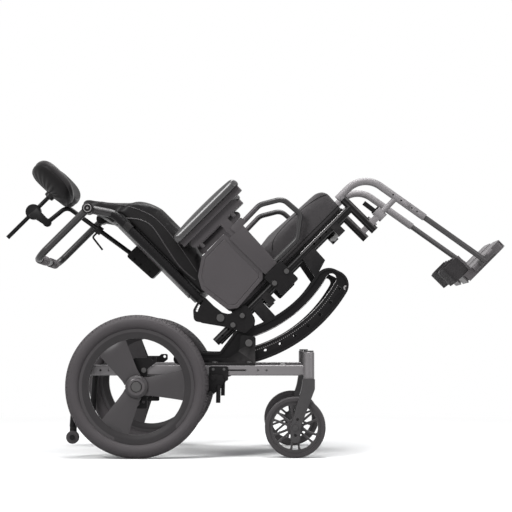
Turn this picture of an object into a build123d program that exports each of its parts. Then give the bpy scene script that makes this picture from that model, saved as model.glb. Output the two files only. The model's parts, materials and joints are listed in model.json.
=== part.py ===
"""Tilt in space wheelchair: a slotted rocker on each side rolls the seat about one fixed centre.

X runs forward, Y to the sitter's left, Z up.  The origin is on the floor, under the middle of the chair.
The chair is drawn as it stands tilted back.  Most right-hand pieces are modelled and then mirrored.
"""

from build123d import *
import os
from math import cos, degrees, radians, sin, sqrt

os.makedirs("parts", exist_ok=True)

# ============================================================ driving sizes, mm and degrees

# General fits
RUN_GAP = 0.3           # free gap beside or over a part that moves
PIN_FIT = 0.08          # radial play of a pin in its bearing
SLIDE_FIT = 0.1         # play of a tube or bar that slides in another

# Layout: distances forward of the rear axle and above the floor
REAR_AXLE_X = -329.0    # the rear axle, from the middle of the chair's length
REAR_WHEEL_R = 207.5
WHEEL_Y = 300.0         # middle of a rear wheel, from the chair's middle plane
CASTER_R = 88.5
CASTER_TRAIL = 40.0     # caster axle behind its stem
CASTER_STEM_X = 499.0
CASTER_Y = 266.0
TILT_X = 217.0          # the centre that the rockers are struck from
REST_TILT = 45.0        # how far the seat leans back as drawn
TILT_TRAVEL = 45.0      # from fully tilted to upright

# Base rails
RAIL_Y = 254.0
RAIL_Z = 254.0
BASE_RAIL_W = 25.0
BASE_RAIL_H = 31.0
BASE_RAIL_WALL = 2.5
BASE_RAIL_ROUND = 5.0
BASE_RAIL_REAR = -140.0
ACCESSORY_X = 363.1     # middle of the two front accessory holes in the rail
ACCESSORY_PITCH = 25.4
ACCESSORY_HOLE_R = 3.25
REAR_HOLE_X = -96.5     # middle of the two rear ones
GROOVE_START = 210.0    # slot in the rail's outer wall
GROOVE_END = 317.0
GROOVE_W = 5.0
HOUSING_R = 16.0        # caster stem housing
HOUSING_BOTTOM = 230.0
HOUSING_TOP = 307.0
CROSS_TUBE_X = 430.0
CROSS_TUBE_R = 12.7
AXLE_TUBE_R = 15.0

# Rear wheels
AXLE_R = 6.35
AXLE_HEAD_R = 14.0
AXLE_HEAD_T = 4.0
TYRE_R = 22.0           # half the tyre's section
TYRE_H = 40.5           # from the ground to the rim's outer edge
RIM_H = 28.0
RIM_W = 26.0
RIM_BORE_W = 14.0
SPOKE_COUNT = 3
SPOKE_ANGLE = 2.0
SPOKE_HALF_HUB = 27.0
SPOKE_HALF_RIM = 47.0
SPOKE_T = 12.0
HUB_R = 32.6
HUB_BACK = 23.0         # hub's inner face behind the middle of the wheel
HUB_FACE = 18.0         # outer face in front of it
HUB_BEVEL = 6.0

# Axle plates
PLATE_T = 6.0
PLATE_HALF_W = 28.0
PLATE_DROP = 64.5       # plate's lower edge below the axle
PLATE_LOW_HOLES = 45.5
PLATE_TOP = 290.0
AXLE_HOLE_PITCH = 25.4

# Caster forks and wheels
STEM_R = 6.0
CASTER_W = 28.0
CASTER_SIDE_GAP = 3.0
FORK_T = 5.0
FORK_BOTTOM = 45.0
CASTER_AXLE_R = 4.0
CASTER_CORE_R = 76.0
CASTER_RING_R = 66.0
CASTER_HUB_R = 17.0
CASTER_CORE_W = 18.0
CASTER_PAIRS = 6
WIDE_GAP = 17.0         # degrees, half of the opening between two pairs of spokes
NARROW_GAP = 8.0        # half of the opening inside a pair
CAP_T = 4.0

# Anti-tip arms
ANTI_TIP_X = -190.0
ANTI_TIP_Z = 59.0
ANTI_TIP_R = 19.0
ANTI_TIP_W = 18.0
ANTI_TIP_TUBE_R = 9.5
ANTI_TIP_BEND_R = 30.0
ANTI_TIP_PIN_R = 4.0

# Wheel locks
LOCK_PIVOT_FORE = 6.6   # pivot forward of the shoe
LOCK_PIVOT_DROP = 21.5  # and below the middle of the base rail
LOCK_SHOE_R = 6.5
LOCK_SHOE_DROP = 5.3    # degrees below the line from the axle straight forward
LOCK_PLATE_T = 5.0
LOCK_GRIP_FORE = 21.6   # end of the grip forward of the shoe
LOCK_GRIP_DROP = 27.7   # and below it

# Rockers
SLOT_MID_R = 404.0      # middle line of the slot, from the tilt centre
SLOT_W = 28.0
ROCKER_BELOW = 60.0     # metal below the slot's middle line, to the edge that the rear rollers bear on
ROCKER_ABOVE = 44.0     # metal above it
TAIL_H = 46.0           # height of the narrow tail
NOSE_ROUND = 44.0
ROCKER_ROUND = 14.0
ROLLER_OVER_RAIL = 63.82  # middle of the front roller above the base rail
ROCKER_Y = 190.0
ROCKER_WEB_T = 12.0
ROCKER_FLANGE_T = 20.0
ROCKER_FLANGE_W = 7.0
SLOT_OVERRUN = 0.5      # degrees of slot beyond the roller at each end of the travel
NOSE_WALL = 4.0         # degrees of metal in front of the slot's last roller place
TAIL_OVERRUN = 5.0      # degrees of tail behind the rear roller
FRONT_ROLLER_FORE = 15.3  # degrees forward of straight under the centre
REAR_ROLLER_AFT = 10.0    # degrees behind it
REAR_ROLLER_R = 16.0
ROLLER_W = 18.0
ROLLER_PIN_R = 5.0
ROCKER_HOLES = 12
ROCKER_HOLE_R = 5.0

# Roller brackets
BRACKET_Y = 209.5
BRACKET_T = 5.5
BRACKET_FOOT_T = 5.0
BOSS_R = 9.0

# Seat frame, in the seat's own directions: u forward, v up, from the tilt centre
SEAT_RAIL_V = -280.0
SEAT_RAIL_Y = 190.0
SEAT_TUBE_R = 12.7
SEAT_TUBE_WALL = 2.3
SEAT_RAIL_REAR = -268.0
SEAT_HOLE_R = 3.2
SEAT_HOLE_PITCH = 25.0
POST_U = 301.5
POST_R = 12.5
POST_TOP = -247.0
POST_BOTTOM = -380.0
STRUT_TOP = (90.0, 137.0)
STRUT_FOOT = (76.0, 134.0)
LUG_TOP = (-119.0, -85.0)
LUG_FOOT = (-122.0, -88.0)
CROSS_MEMBER_US = (226.0, -66.0)
CROSS_MEMBER_R = 11.0
SADDLE_L = 24.0
SADDLE_W = 28.0
PAN_T = 5.0
PAN_FRONT = 281.0
PAN_REAR = -168.0
PAN_HALF_W = 192.0
CUSHION_HALF_W = 198.0
CUSHION_TOP = -177.0
CUSHION_CROWN = 14.0
CUSHION_WAIST = 5.0

# Recline hinge
RECLINE_U = -207.0
RECLINE_V = -239.0
HINGE_T = 5.0
INDEX_R = 73.0          # ring of index holes round the recline pivot
INDEX_HOLES = 6
INDEX_STEP = 6.0
RECLINE_PIN_R = 5.0

# Back
CANE_U = -211.0
CANE_BOTTOM = -258.0
CANE_BEND = (-213.0, 206.0)
HANDLE_PIVOT = (-256.0, 269.0)
KNUCKLE_R = 17.0
SHELL_EDGE_U = -214.0
SHELL_BACK_U = -236.0
SHELL_SIDE_GAP = 9.3    # between the shell's edge and the cane
SHELL_T = 3.0
SHELL_BOTTOM = -120.0
SHELL_TOP = 185.0
HOOK_VS = (-70.0, 130.0)
BACK_CUSHION_HALF_W = 186.0
CREST_SIDE_GAP = 5.3    # between the cushion's crest and the knuckles at the ends of the canes
CREST_ROUND = 46.0

# Push handle
HANDLE_Y = 215.0
HANDLE_TUBE_R = 11.0
HANDLE_REACH = 209.0
HANDLE_BEND_R = 40.0
GRIP_R = 14.5
GRIP_L = 120.0
HANDLE_PIN_R = 6.0

# Headrest
RECEIVER_TOP = 107.0
RECEIVER_BOTTOM = 0.0
RECEIVER_HALF_W = 22.0
RECEIVER_BACK_U = -278.0
POST_BAR_R = 7.0
BAR_FOOT = (-250.0, 12.0)
BAR_CORNER = (-302.5, 349.0)
BAR_END = (-381.0, 357.0)
BAR_BEND_R = 26.0
ARM_CLAMP = (-387.5, 410.4)
ARM_CLAMP_R = 24.0
ROD_R = 6.5
ROD_REAR = -501.0
BALL_U = -318.0
BALL_R = 11.0
PAD_HALF_W = 130.0
COLLAR_V = 217.0        # stop collar on the post
COLLAR_R = 13.0
COLLAR_L = 18.0

# Armrests
ARM_Y = 215.0
SLEEVE = (-23.0, 26.0)
SLEEVE_TOP = -92.0
SLEEVE_BOTTOM = -243.0
SLEEVE_T = 16.0
ARM_BAR_W = 29.0
ARM_BAR_T = 10.0
ARM_BAR_BOTTOM = -200.0
STUB_W = 27.0
STUB_BOTTOM = -300.0
RECEIVER_US = (-32.0, 38.0)
RECEIVER_V_TOP = -245.0
RECEIVER_V_BOTTOM = -321.0
RECEIVER_T = 25.0
LOOP_R = 8.0
LOOP_RADII = (40.0, 34.0, 20.0, 30.0)
ARM_RAIL = (-118.0, 73.0)
ARM_RAIL_TOP = -16.0
ARM_RAIL_BOTTOM = -42.0
CHANNEL = (-135.0, 105.0)
CHANNEL_HALF_W = 18.0
ARM_PAD = (-143.0, 112.0)
ARM_PAD_BOTTOM = 2.0
ARM_PAD_TOP = 36.0
ARM_PAD_HALF_W = 30.0
ARM_PAD_Y = 220.0
GUARD_T = 5.0
GUARD_GROOVE = 1.2

# Legrests
HANGER_R = 11.1
HANGER_V = -235.0
HANGER_PIN_R = 10.0
HANGER_PIN_L = 60.0
HANGER_BEND_R = 75.0
HANGER_END = (434.2, -457.0)
LEG_TUBE_R = 8.5
LEG_TUBE_TOP = (423.0, -390.0)
LEG_TUBE_RISE = 65.0    # bore above the tube, that it rises into
LEG_HOLE_VS = (-343.0, -372.0, -410.0, -429.0)
LEG_HOLE_R = 2.6
LEG_KNOB_V = -391.0
BRACE_V = -356.0
BRACE_R = 8.0
LATCH_U = 346.0
LATCH_R = 15.0
LATCH_T = 32.0
FOOT_AXIS_V = -671.0
FOOT_KNUCKLE_R = 10.0
FOOT_PIN_R = 5.0
FOOT_BARREL_HALF = 18.0
FOOT_KNUCKLE_L = 22.0
DECK_U = (393.0, 550.0)
DECK_Y = (157.0, 15.0)
DECK_TOP = 8.0
DECK_T = 4.0
DECK_H = 26.0
STRAP_T = 3.0
STRAP_H = 55.0
STRAP_REAR = 354.0
STRAP_POST_U = 426.0
STRAP_POST_R = 4.0

# Bolts
BOLT_R = 4.0
BOLT_HEAD_R = 7.5
BOLT_HEAD_T = 5.0
BOLT_PLAY = 0.15

# ============================================================ places worked out from the sizes

LEAN = radians(REST_TILT)
U_DIR = Vector(cos(LEAN), 0, sin(LEAN))
V_DIR = Vector(-sin(LEAN), 0, cos(LEAN))
BASE_RAIL_TOP = RAIL_Z + BASE_RAIL_H / 2
BASE_RAIL_OUT = RAIL_Y + BASE_RAIL_W / 2
BASE_RAIL_IN = RAIL_Y - BASE_RAIL_W / 2
SEAT_RAIL_OUT = SEAT_RAIL_Y + SEAT_TUBE_R
SEAT_BORE_R = SEAT_TUBE_R - SEAT_TUBE_WALL
RIM_OUT_R = REAR_WHEEL_R - TYRE_H
RIM_IN_R = RIM_OUT_R - RIM_H
HUB_IN = WHEEL_Y - HUB_BACK
HUB_OUT = WHEEL_Y + HUB_FACE
ROCKER_R = SLOT_MID_R + ROCKER_BELOW
ROCKER_IN_R = SLOT_MID_R - ROCKER_ABOVE
ROCKER_TAIL_R = ROCKER_R - TAIL_H
SHELL_HALF_W = SEAT_RAIL_Y - SEAT_TUBE_R - SHELL_SIDE_GAP
TILT_Z = BASE_RAIL_TOP + ROLLER_OVER_RAIL + SLOT_MID_R * cos(radians(FRONT_ROLLER_FORE))
ROLLER_LOCAL = -90 + FRONT_ROLLER_FORE - REST_TILT
SLOT_REAR = ROLLER_LOCAL - SLOT_OVERRUN
SLOT_FRONT = ROLLER_LOCAL + TILT_TRAVEL + SLOT_OVERRUN
NOSE = SLOT_FRONT + NOSE_WALL
TAIL = -90 - REAR_ROLLER_AFT - REST_TILT - TAIL_OVERRUN
ROLLER_R = SLOT_W / 2 - RUN_GAP


def polar(radius, angle):
    """Point at a radius and an angle in degrees."""
    return (radius * cos(radians(angle)), radius * sin(radians(angle)))


def base_plane(y=0.0):
    """Side view of the base: x forward of the rear axle, y up from the floor, facing right."""
    return Plane(origin=(REAR_AXLE_X, y, 0), x_dir=(1, 0, 0), z_dir=(0, -1, 0))


def seat_plane(y=0.0):
    """Side view of the seat, x along u and y along v, facing right."""
    return Plane(origin=seat_point(0, 0, y), x_dir=U_DIR, z_dir=(0, -1, 0))


def seat_point(u, v, y=0.0):
    """Place in the seat's own directions, from the tilt centre."""
    return Vector(REAR_AXLE_X + TILT_X, y, TILT_Z) + U_DIR * u + V_DIR * v


def across_seat(u):
    """View along the seat at u: x is the chair's Y, y is v."""
    return Plane(origin=seat_point(u, 0), x_dir=(0, 1, 0), z_dir=U_DIR)


def plan_of_seat(v):
    """View down on the seat at v: x is u, y is the chair's Y."""
    return Plane(origin=seat_point(0, v), x_dir=U_DIR, z_dir=V_DIR)


def write(part, name):
    """Label a finished piece and write its file."""
    part.label = name
    export_step(part, f"parts/{name}.step")


def write_both(right, name):
    """Write a right-hand piece and its mirror image on the left."""
    write(right, f"{name}_right")
    write(mirror(right, about=Plane.XZ), f"{name}_left")


def tube_along(run, radius, bore=0.0):
    """Sweep a round tube along a finished line."""
    with BuildSketch(Plane(origin=run.line @ 0, z_dir=run.line % 0)) as section:
        Circle(radius)
        if bore:
            Circle(bore, mode=Mode.SUBTRACT)
    sweep(section.sketch, path=run.line)


def rod(plane, centre, radius, length, mode=Mode.ADD):
    """Round bar of a length standing on a plane."""
    with BuildSketch(plane) as disc:
        with Locations(centre):
            Circle(radius)
    extrude(disc.sketch, amount=length, mode=mode)


# ============================================================ base frame

STEM = (REAR_AXLE_X + CASTER_STEM_X, -CASTER_Y)

with BuildPart() as base_side:
    rail_end = CASTER_STEM_X - HOUSING_R / 2
    with BuildSketch(Plane.YZ.offset(REAR_AXLE_X + BASE_RAIL_REAR)):
        with Locations((-RAIL_Y, RAIL_Z)):
            RectangleRounded(BASE_RAIL_W, BASE_RAIL_H, BASE_RAIL_ROUND)
    extrude(amount=rail_end - BASE_RAIL_REAR)
    with BuildSketch(Plane.YZ.offset(REAR_AXLE_X + BASE_RAIL_REAR)):
        with Locations((-RAIL_Y, RAIL_Z)):
            RectangleRounded(BASE_RAIL_W - 2 * BASE_RAIL_WALL, BASE_RAIL_H - 2 * BASE_RAIL_WALL,
                             BASE_RAIL_ROUND - BASE_RAIL_WALL)
    extrude(amount=rail_end - HOUSING_R - BASE_RAIL_REAR, mode=Mode.SUBTRACT)
    rod(Plane.XY.offset(HOUSING_BOTTOM), STEM, HOUSING_R, HOUSING_TOP - HOUSING_BOTTOM)
    chamfer(base_side.edges().filter_by(GeomType.CIRCLE).group_by(Axis.Z)[-1], 2)
    rod(Plane.XY.offset(HOUSING_BOTTOM), STEM, STEM_R + PIN_FIT, HOUSING_TOP - HOUSING_BOTTOM,
        Mode.SUBTRACT)
    with BuildSketch(base_plane(-BASE_RAIL_IN)):
        with Locations((ACCESSORY_X, RAIL_Z), (REAR_HOLE_X, RAIL_Z)):
            with GridLocations(ACCESSORY_PITCH, 0, 2, 1):
                Circle(ACCESSORY_HOLE_R)
    extrude(amount=BASE_RAIL_W, mode=Mode.SUBTRACT)
    with BuildSketch(base_plane(-BASE_RAIL_OUT + BASE_RAIL_WALL)):
        with Locations(((GROOVE_START + GROOVE_END) / 2, RAIL_Z)):
            SlotOverall(GROOVE_END - GROOVE_START, GROOVE_W)
    extrude(amount=BASE_RAIL_WALL, mode=Mode.SUBTRACT)
write_both(base_side.part, "base_rail")

with BuildPart() as cross_tubes:
    with BuildSketch(base_plane(BASE_RAIL_IN)):
        with Locations((CROSS_TUBE_X, RAIL_Z)):
            Circle(CROSS_TUBE_R)
            Circle(CROSS_TUBE_R - BASE_RAIL_WALL, mode=Mode.SUBTRACT)
    extrude(amount=2 * BASE_RAIL_IN)
    with BuildSketch(base_plane(BASE_RAIL_OUT)):
        with Locations((0, REAR_WHEEL_R)):
            Circle(AXLE_TUBE_R)
            Circle(AXLE_R + BOLT_PLAY, mode=Mode.SUBTRACT)
    extrude(amount=2 * BASE_RAIL_OUT)
write(cross_tubes.part, "cross_tubes")

with BuildPart() as axle_plates:
    with BuildSketch(base_plane(-BASE_RAIL_OUT)):
        with BuildLine():
            plate_bottom = REAR_WHEEL_R - PLATE_DROP
            FilletPolyline((-PLATE_HALF_W, plate_bottom), (PLATE_HALF_W, plate_bottom),
                           (PLATE_HALF_W, RAIL_Z + 4), (55, RAIL_Z + 24), (55, PLATE_TOP + 6),
                           (34, PLATE_TOP + 6), (PLATE_HALF_W, PLATE_TOP), (-PLATE_HALF_W + 20, PLATE_TOP),
                           (-PLATE_HALF_W, RAIL_Z + 20), radius=5, close=True)
        make_face()
        with Locations((0, REAR_WHEEL_R), (0, REAR_WHEEL_R - AXLE_HOLE_PITCH),
                       (0, REAR_WHEEL_R - 2 * AXLE_HOLE_PITCH)):
            Circle(AXLE_R + BOLT_PLAY, mode=Mode.SUBTRACT)
        with Locations((45, PLATE_TOP - 2.4), (18, REAR_WHEEL_R - PLATE_LOW_HOLES),
                       (-18, REAR_WHEEL_R - PLATE_LOW_HOLES)):
            Circle(4.2, mode=Mode.SUBTRACT)
        with Locations((18, RAIL_Z), (-18, RAIL_Z)):
            Circle(BOLT_R + BOLT_PLAY, mode=Mode.SUBTRACT)
    extrude(amount=PLATE_T)
    mirror(about=Plane.XZ)
write(axle_plates.part, "axle_plates")

# ============================================================ rocker rollers and brackets

ROLLER_XZ = (TILT_X + polar(SLOT_MID_R, -90 + FRONT_ROLLER_FORE)[0],
             TILT_Z + polar(SLOT_MID_R, -90 + FRONT_ROLLER_FORE)[1])
REAR_ROLLER_FROM_CENTRE = ROCKER_R + RUN_GAP + REAR_ROLLER_R
REAR_ROLLER_XZ = (TILT_X + polar(REAR_ROLLER_FROM_CENTRE, -90 - REAR_ROLLER_AFT)[0],
                  TILT_Z + polar(REAR_ROLLER_FROM_CENTRE, -90 - REAR_ROLLER_AFT)[1])

with BuildPart() as roller_brackets:
    fx, fz = ROLLER_XZ
    rx, rz = REAR_ROLLER_XZ
    with BuildSketch(base_plane(-BRACKET_Y)):
        with BuildLine():
            FilletPolyline((fx - 24, fz + 24), (fx + 19, fz + 19), (fx + 19, BASE_RAIL_TOP),
                           (rx + 62, BASE_RAIL_TOP), (rx + 24, rz - 17), (rx - 17, rz - 17),
                           (rx - 17, rz + 12), (rx + 14, BASE_RAIL_TOP + 19), (fx - 60, BASE_RAIL_TOP + 19),
                           (fx - 28, fz - 24), radius=(8, 8, 0, 6, 10, 10, 10, 10, 30, 16), close=True)
        make_face()
        with Locations(ROLLER_XZ, REAR_ROLLER_XZ):
            Circle(ROLLER_PIN_R + BOLT_PLAY, mode=Mode.SUBTRACT)
        with Locations((fx - 90, BASE_RAIL_TOP + 10), (fx - 130, BASE_RAIL_TOP + 10)):
            SlotOverall(24, 7, mode=Mode.SUBTRACT)
    extrude(amount=BRACKET_T)
    with BuildSketch(Plane.XY.offset(BASE_RAIL_TOP)):
        with Locations((REAR_AXLE_X + (rx + 62 + fx + 19) / 2, -(BRACKET_Y + BASE_RAIL_OUT) / 2)):
            Rectangle(fx + 19 - rx - 62, BASE_RAIL_OUT - BRACKET_Y)
        with Locations((REAR_AXLE_X + fx - 100, -RAIL_Y), (REAR_AXLE_X + fx, -RAIL_Y)):
            Circle(BOLT_R + BOLT_PLAY, mode=Mode.SUBTRACT)
    extrude(amount=BRACKET_FOOT_T)
    with BuildSketch(base_plane(-BRACKET_Y)):
        with Locations(ROLLER_XZ, REAR_ROLLER_XZ):
            Circle(BOSS_R)
            Circle(ROLLER_PIN_R + BOLT_PLAY, mode=Mode.SUBTRACT)
    extrude(amount=-(BRACKET_Y - ROCKER_Y - ROLLER_W / 2 - RUN_GAP))
    mirror(about=Plane.XZ)
write(roller_brackets.part, "roller_brackets")

for roller_name, place, roller_radius in (("front_rollers", ROLLER_XZ, ROLLER_R),
                                          ("rear_rollers", REAR_ROLLER_XZ, REAR_ROLLER_R)):
    with BuildPart() as rollers:
        with BuildSketch(base_plane(-ROCKER_Y + ROLLER_W / 2)):
            with Locations(place):
                Circle(roller_radius)
                Circle(ROLLER_PIN_R + PIN_FIT, mode=Mode.SUBTRACT)
        extrude(amount=ROLLER_W)
        mirror(about=Plane.XZ)
    write(rollers.part, roller_name)

# ============================================================ rear wheels

WHEEL_SECTION = Plane(origin=(REAR_AXLE_X, 0, REAR_WHEEL_R), x_dir=(0, 1, 0), z_dir=(1, 0, 0))
REAR_AXIS = Axis((REAR_AXLE_X, 0, REAR_WHEEL_R), (0, 1, 0))

with BuildPart() as rear_tyre:
    with BuildSketch(WHEEL_SECTION):
        with Locations((-WHEEL_Y, REAR_WHEEL_R - TYRE_R)):
            Circle(TYRE_R)
        with Locations((-WHEEL_Y, RIM_OUT_R)):
            Rectangle(2 * TYRE_R, 2 * TYRE_R, align=(Align.CENTER, Align.MAX), mode=Mode.SUBTRACT)
    revolve(axis=REAR_AXIS)
write_both(rear_tyre.part, "rear_tyre")

with BuildSketch() as spoke:
    with BuildLine():
        root = HUB_R - 10
        tip = RIM_IN_R + 4
        lower = ThreePointArc((root, -SPOKE_HALF_HUB), ((root + tip) / 2, -SPOKE_HALF_HUB - 4),
                              (tip, -SPOKE_HALF_RIM))
        upper = ThreePointArc((root, SPOKE_HALF_HUB), ((root + tip) / 2, SPOKE_HALF_HUB + 4),
                              (tip, SPOKE_HALF_RIM))
        Line(lower @ 0, upper @ 0)
        Line(lower @ 1, upper @ 1)
    make_face()

with BuildPart() as rear_wheel:
    with BuildSketch(WHEEL_SECTION):
        with BuildLine():
            Polyline((-WHEEL_Y - RIM_W / 2, RIM_OUT_R), (-WHEEL_Y + RIM_W / 2, RIM_OUT_R),
                     (-WHEEL_Y + RIM_W / 2, RIM_OUT_R - 9), (-WHEEL_Y + RIM_BORE_W / 2, RIM_IN_R),
                     (-WHEEL_Y - RIM_BORE_W / 2, RIM_IN_R), (-WHEEL_Y - RIM_W / 2, RIM_OUT_R - 9),
                     close=True)
        make_face()
    revolve(axis=REAR_AXIS)
    with BuildSketch(base_plane(-WHEEL_Y + SPOKE_T / 2)):
        with Locations((0, REAR_WHEEL_R)):
            Circle(HUB_R)
            with PolarLocations(0, SPOKE_COUNT, start_angle=SPOKE_ANGLE):
                add(spoke.sketch_local)
    extrude(amount=SPOKE_T)
    with BuildSketch(WHEEL_SECTION):
        with BuildLine():
            Polyline((-HUB_IN, 0), (-HUB_IN, HUB_R - HUB_BEVEL), (-HUB_IN - HUB_BEVEL, HUB_R),
                     (-HUB_OUT + HUB_BEVEL, HUB_R), (-HUB_OUT, HUB_R - HUB_BEVEL - 2), (-HUB_OUT, 0), close=True)
        make_face()
    revolve(axis=REAR_AXIS)
    rod(base_plane(-HUB_IN), (0, REAR_WHEEL_R), AXLE_R + PIN_FIT, HUB_OUT - HUB_IN, Mode.SUBTRACT)
write_both(rear_wheel.part, "rear_wheel")

# ============================================================ casters

CASTER_AXLE = (CASTER_STEM_X - CASTER_TRAIL, CASTER_R)
FORK_HALF = CASTER_W / 2 + CASTER_SIDE_GAP + FORK_T

with BuildPart() as caster_fork:
    top = HOUSING_BOTTOM - RUN_GAP
    with BuildSketch(base_plane(-CASTER_Y + FORK_HALF)):
        ax, az = CASTER_AXLE
        with BuildLine():
            FilletPolyline((CASTER_STEM_X - 17, top), (CASTER_STEM_X + 17, top),
                           (CASTER_STEM_X + 17, top - 30), (ax + 15, az), (ax + 13.5, FORK_BOTTOM),
                           (ax - 13.5, FORK_BOTTOM), (ax - 14.5, az), (CASTER_STEM_X - 22, top - 30),
                           radius=(3, 3, 12, 30, 12, 12, 30, 12), close=True)
        make_face()
    extrude(amount=2 * FORK_HALF)
    with BuildSketch(base_plane(-CASTER_Y + FORK_HALF - FORK_T)):
        with Locations(CASTER_AXLE):
            Circle(CASTER_R + 6)
        with Locations((ax, 0)):
            Rectangle(3 * CASTER_R, 2 * CASTER_R, align=(Align.CENTER, Align.CENTER))
    extrude(amount=2 * (FORK_HALF - FORK_T), mode=Mode.SUBTRACT)
    with BuildSketch(base_plane(-CASTER_Y + FORK_HALF)):
        with Locations(CASTER_AXLE, (ax, az - 22), (ax + 6, az + 24)):
            Circle(CASTER_AXLE_R + BOLT_PLAY)
    extrude(amount=2 * FORK_HALF, mode=Mode.SUBTRACT)
    rod(Plane.XY.offset(top), STEM, STEM_R, HOUSING_TOP + RUN_GAP - top)
    rod(Plane.XY.offset(HOUSING_TOP + RUN_GAP), STEM, HOUSING_R - 2, CAP_T)
    rod(base_plane(-CASTER_Y + FORK_HALF), CASTER_AXLE, CASTER_AXLE_R, 2 * FORK_HALF)
    rod(base_plane(-CASTER_Y - FORK_HALF), CASTER_AXLE, 8, 4)
    rod(base_plane(-CASTER_Y + FORK_HALF + 4), CASTER_AXLE, 8, 4)
write_both(caster_fork.part, "caster_fork")

CASTER_SECTION = Plane(origin=(REAR_AXLE_X + CASTER_AXLE[0], 0, CASTER_R), x_dir=(0, 1, 0),
                       z_dir=(1, 0, 0))
CASTER_AXIS = Axis((REAR_AXLE_X + CASTER_AXLE[0], 0, CASTER_R), (0, 1, 0))

with BuildPart() as caster_tyre:
    with BuildSketch(CASTER_SECTION) as caster_ring:
        with Locations((-CASTER_Y, (CASTER_R + CASTER_CORE_R) / 2)):
            Rectangle(CASTER_W, CASTER_R - CASTER_CORE_R)
        fillet(caster_ring.vertices().group_by(Axis.Y)[-1], 5)
    revolve(axis=CASTER_AXIS)
write_both(caster_tyre.part, "caster_tyre")


def spoke_gap(half, corner):
    """Opening between two caster spokes, half so many degrees wide at the ring."""
    gap_out = CASTER_RING_R
    gap_in = CASTER_HUB_R + 7
    with BuildSketch() as gap:
        with BuildLine():
            inner = ThreePointArc(polar(gap_in, -half * 0.6), (gap_in, 0), polar(gap_in, half * 0.6))
            outer = ThreePointArc(polar(gap_out, -half), (gap_out, 0), polar(gap_out, half))
            Line(inner @ 0, outer @ 0)
            Line(inner @ 1, outer @ 1)
        make_face()
        fillet(gap.vertices(), corner)
    return gap.sketch_local


with BuildPart() as caster_wheel:
    with BuildSketch(base_plane(-CASTER_Y + CASTER_CORE_W / 2)) as caster_core:
        with Locations(CASTER_AXLE):
            Circle(CASTER_CORE_R)
            with PolarLocations(0, CASTER_PAIRS):
                add(spoke_gap(WIDE_GAP, 5), mode=Mode.SUBTRACT)
            with PolarLocations(0, CASTER_PAIRS, start_angle=180 / CASTER_PAIRS):
                add(spoke_gap(NARROW_GAP, 1.5), mode=Mode.SUBTRACT)
    extrude(amount=CASTER_CORE_W)
    rod(base_plane(-CASTER_Y + CASTER_W / 2 + CASTER_SIDE_GAP - RUN_GAP), CASTER_AXLE, CASTER_HUB_R,
        CASTER_W + 2 * (CASTER_SIDE_GAP - RUN_GAP))
    rod(base_plane(-CASTER_Y + CASTER_W), CASTER_AXLE, CASTER_AXLE_R + PIN_FIT, 2 * CASTER_W,
        Mode.SUBTRACT)
write_both(caster_wheel.part, "caster_wheel")

# ============================================================ anti-tip arms and wheels

ANTI_TIP_LUG_IN = RAIL_Y - ANTI_TIP_W / 2 - RUN_GAP - PLATE_T

with BuildPart() as anti_tip_arms:
    lug_top = ANTI_TIP_Z + ANTI_TIP_R + ANTI_TIP_TUBE_R + 3
    with BuildLine(base_plane(-RAIL_Y)) as arm_run:
        FilletPolyline((BASE_RAIL_REAR + 24, RAIL_Z), (ANTI_TIP_X + 12, RAIL_Z), (ANTI_TIP_X, lug_top),
                       radius=ANTI_TIP_BEND_R)
    tube_along(arm_run, ANTI_TIP_TUBE_R)
    with BuildSketch(base_plane(-ANTI_TIP_LUG_IN)):
        with Locations((ANTI_TIP_X, (ANTI_TIP_Z + lug_top) / 2)):
            SlotOverall(lug_top - ANTI_TIP_Z + 26, 20, rotation=90)
    extrude(amount=PLATE_T)
    with BuildSketch(base_plane(-ANTI_TIP_LUG_IN)):
        with Locations((ANTI_TIP_X, lug_top + 2)):
            Rectangle(16, 8)
    extrude(amount=RAIL_Y - ANTI_TIP_LUG_IN)
    rod(base_plane(-ANTI_TIP_LUG_IN), (ANTI_TIP_X, ANTI_TIP_Z), ANTI_TIP_PIN_R,
        PLATE_T + ANTI_TIP_W + 2 * RUN_GAP)
    rod(base_plane(-ANTI_TIP_LUG_IN - PLATE_T - ANTI_TIP_W - 2 * RUN_GAP), (ANTI_TIP_X, ANTI_TIP_Z), 8, 4)
    mirror(about=Plane.XZ)
write(anti_tip_arms.part, "anti_tip_arms")

with BuildPart() as anti_tip_wheel:
    with BuildSketch(base_plane(-RAIL_Y + ANTI_TIP_W / 2)):
        with Locations((ANTI_TIP_X, ANTI_TIP_Z)):
            Circle(ANTI_TIP_R)
            Circle(ANTI_TIP_PIN_R + PIN_FIT, mode=Mode.SUBTRACT)
    extrude(amount=ANTI_TIP_W)
    fillet(anti_tip_wheel.edges().filter_by(GeomType.CIRCLE).sort_by(SortBy.RADIUS)[-2:], 4)
write_both(anti_tip_wheel.part, "anti_tip_wheel")

# ============================================================ wheel locks

LOCK_SHOE = (polar(REAR_WHEEL_R + RUN_GAP + LOCK_SHOE_R, -LOCK_SHOE_DROP)[0],
             REAR_WHEEL_R + polar(REAR_WHEEL_R + RUN_GAP + LOCK_SHOE_R, -LOCK_SHOE_DROP)[1])
LOCK_PIVOT = (LOCK_SHOE[0] + LOCK_PIVOT_FORE, RAIL_Z - LOCK_PIVOT_DROP)
LOCK_GRIP = (LOCK_SHOE[0] + LOCK_GRIP_FORE, LOCK_SHOE[1] - LOCK_GRIP_DROP)

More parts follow.
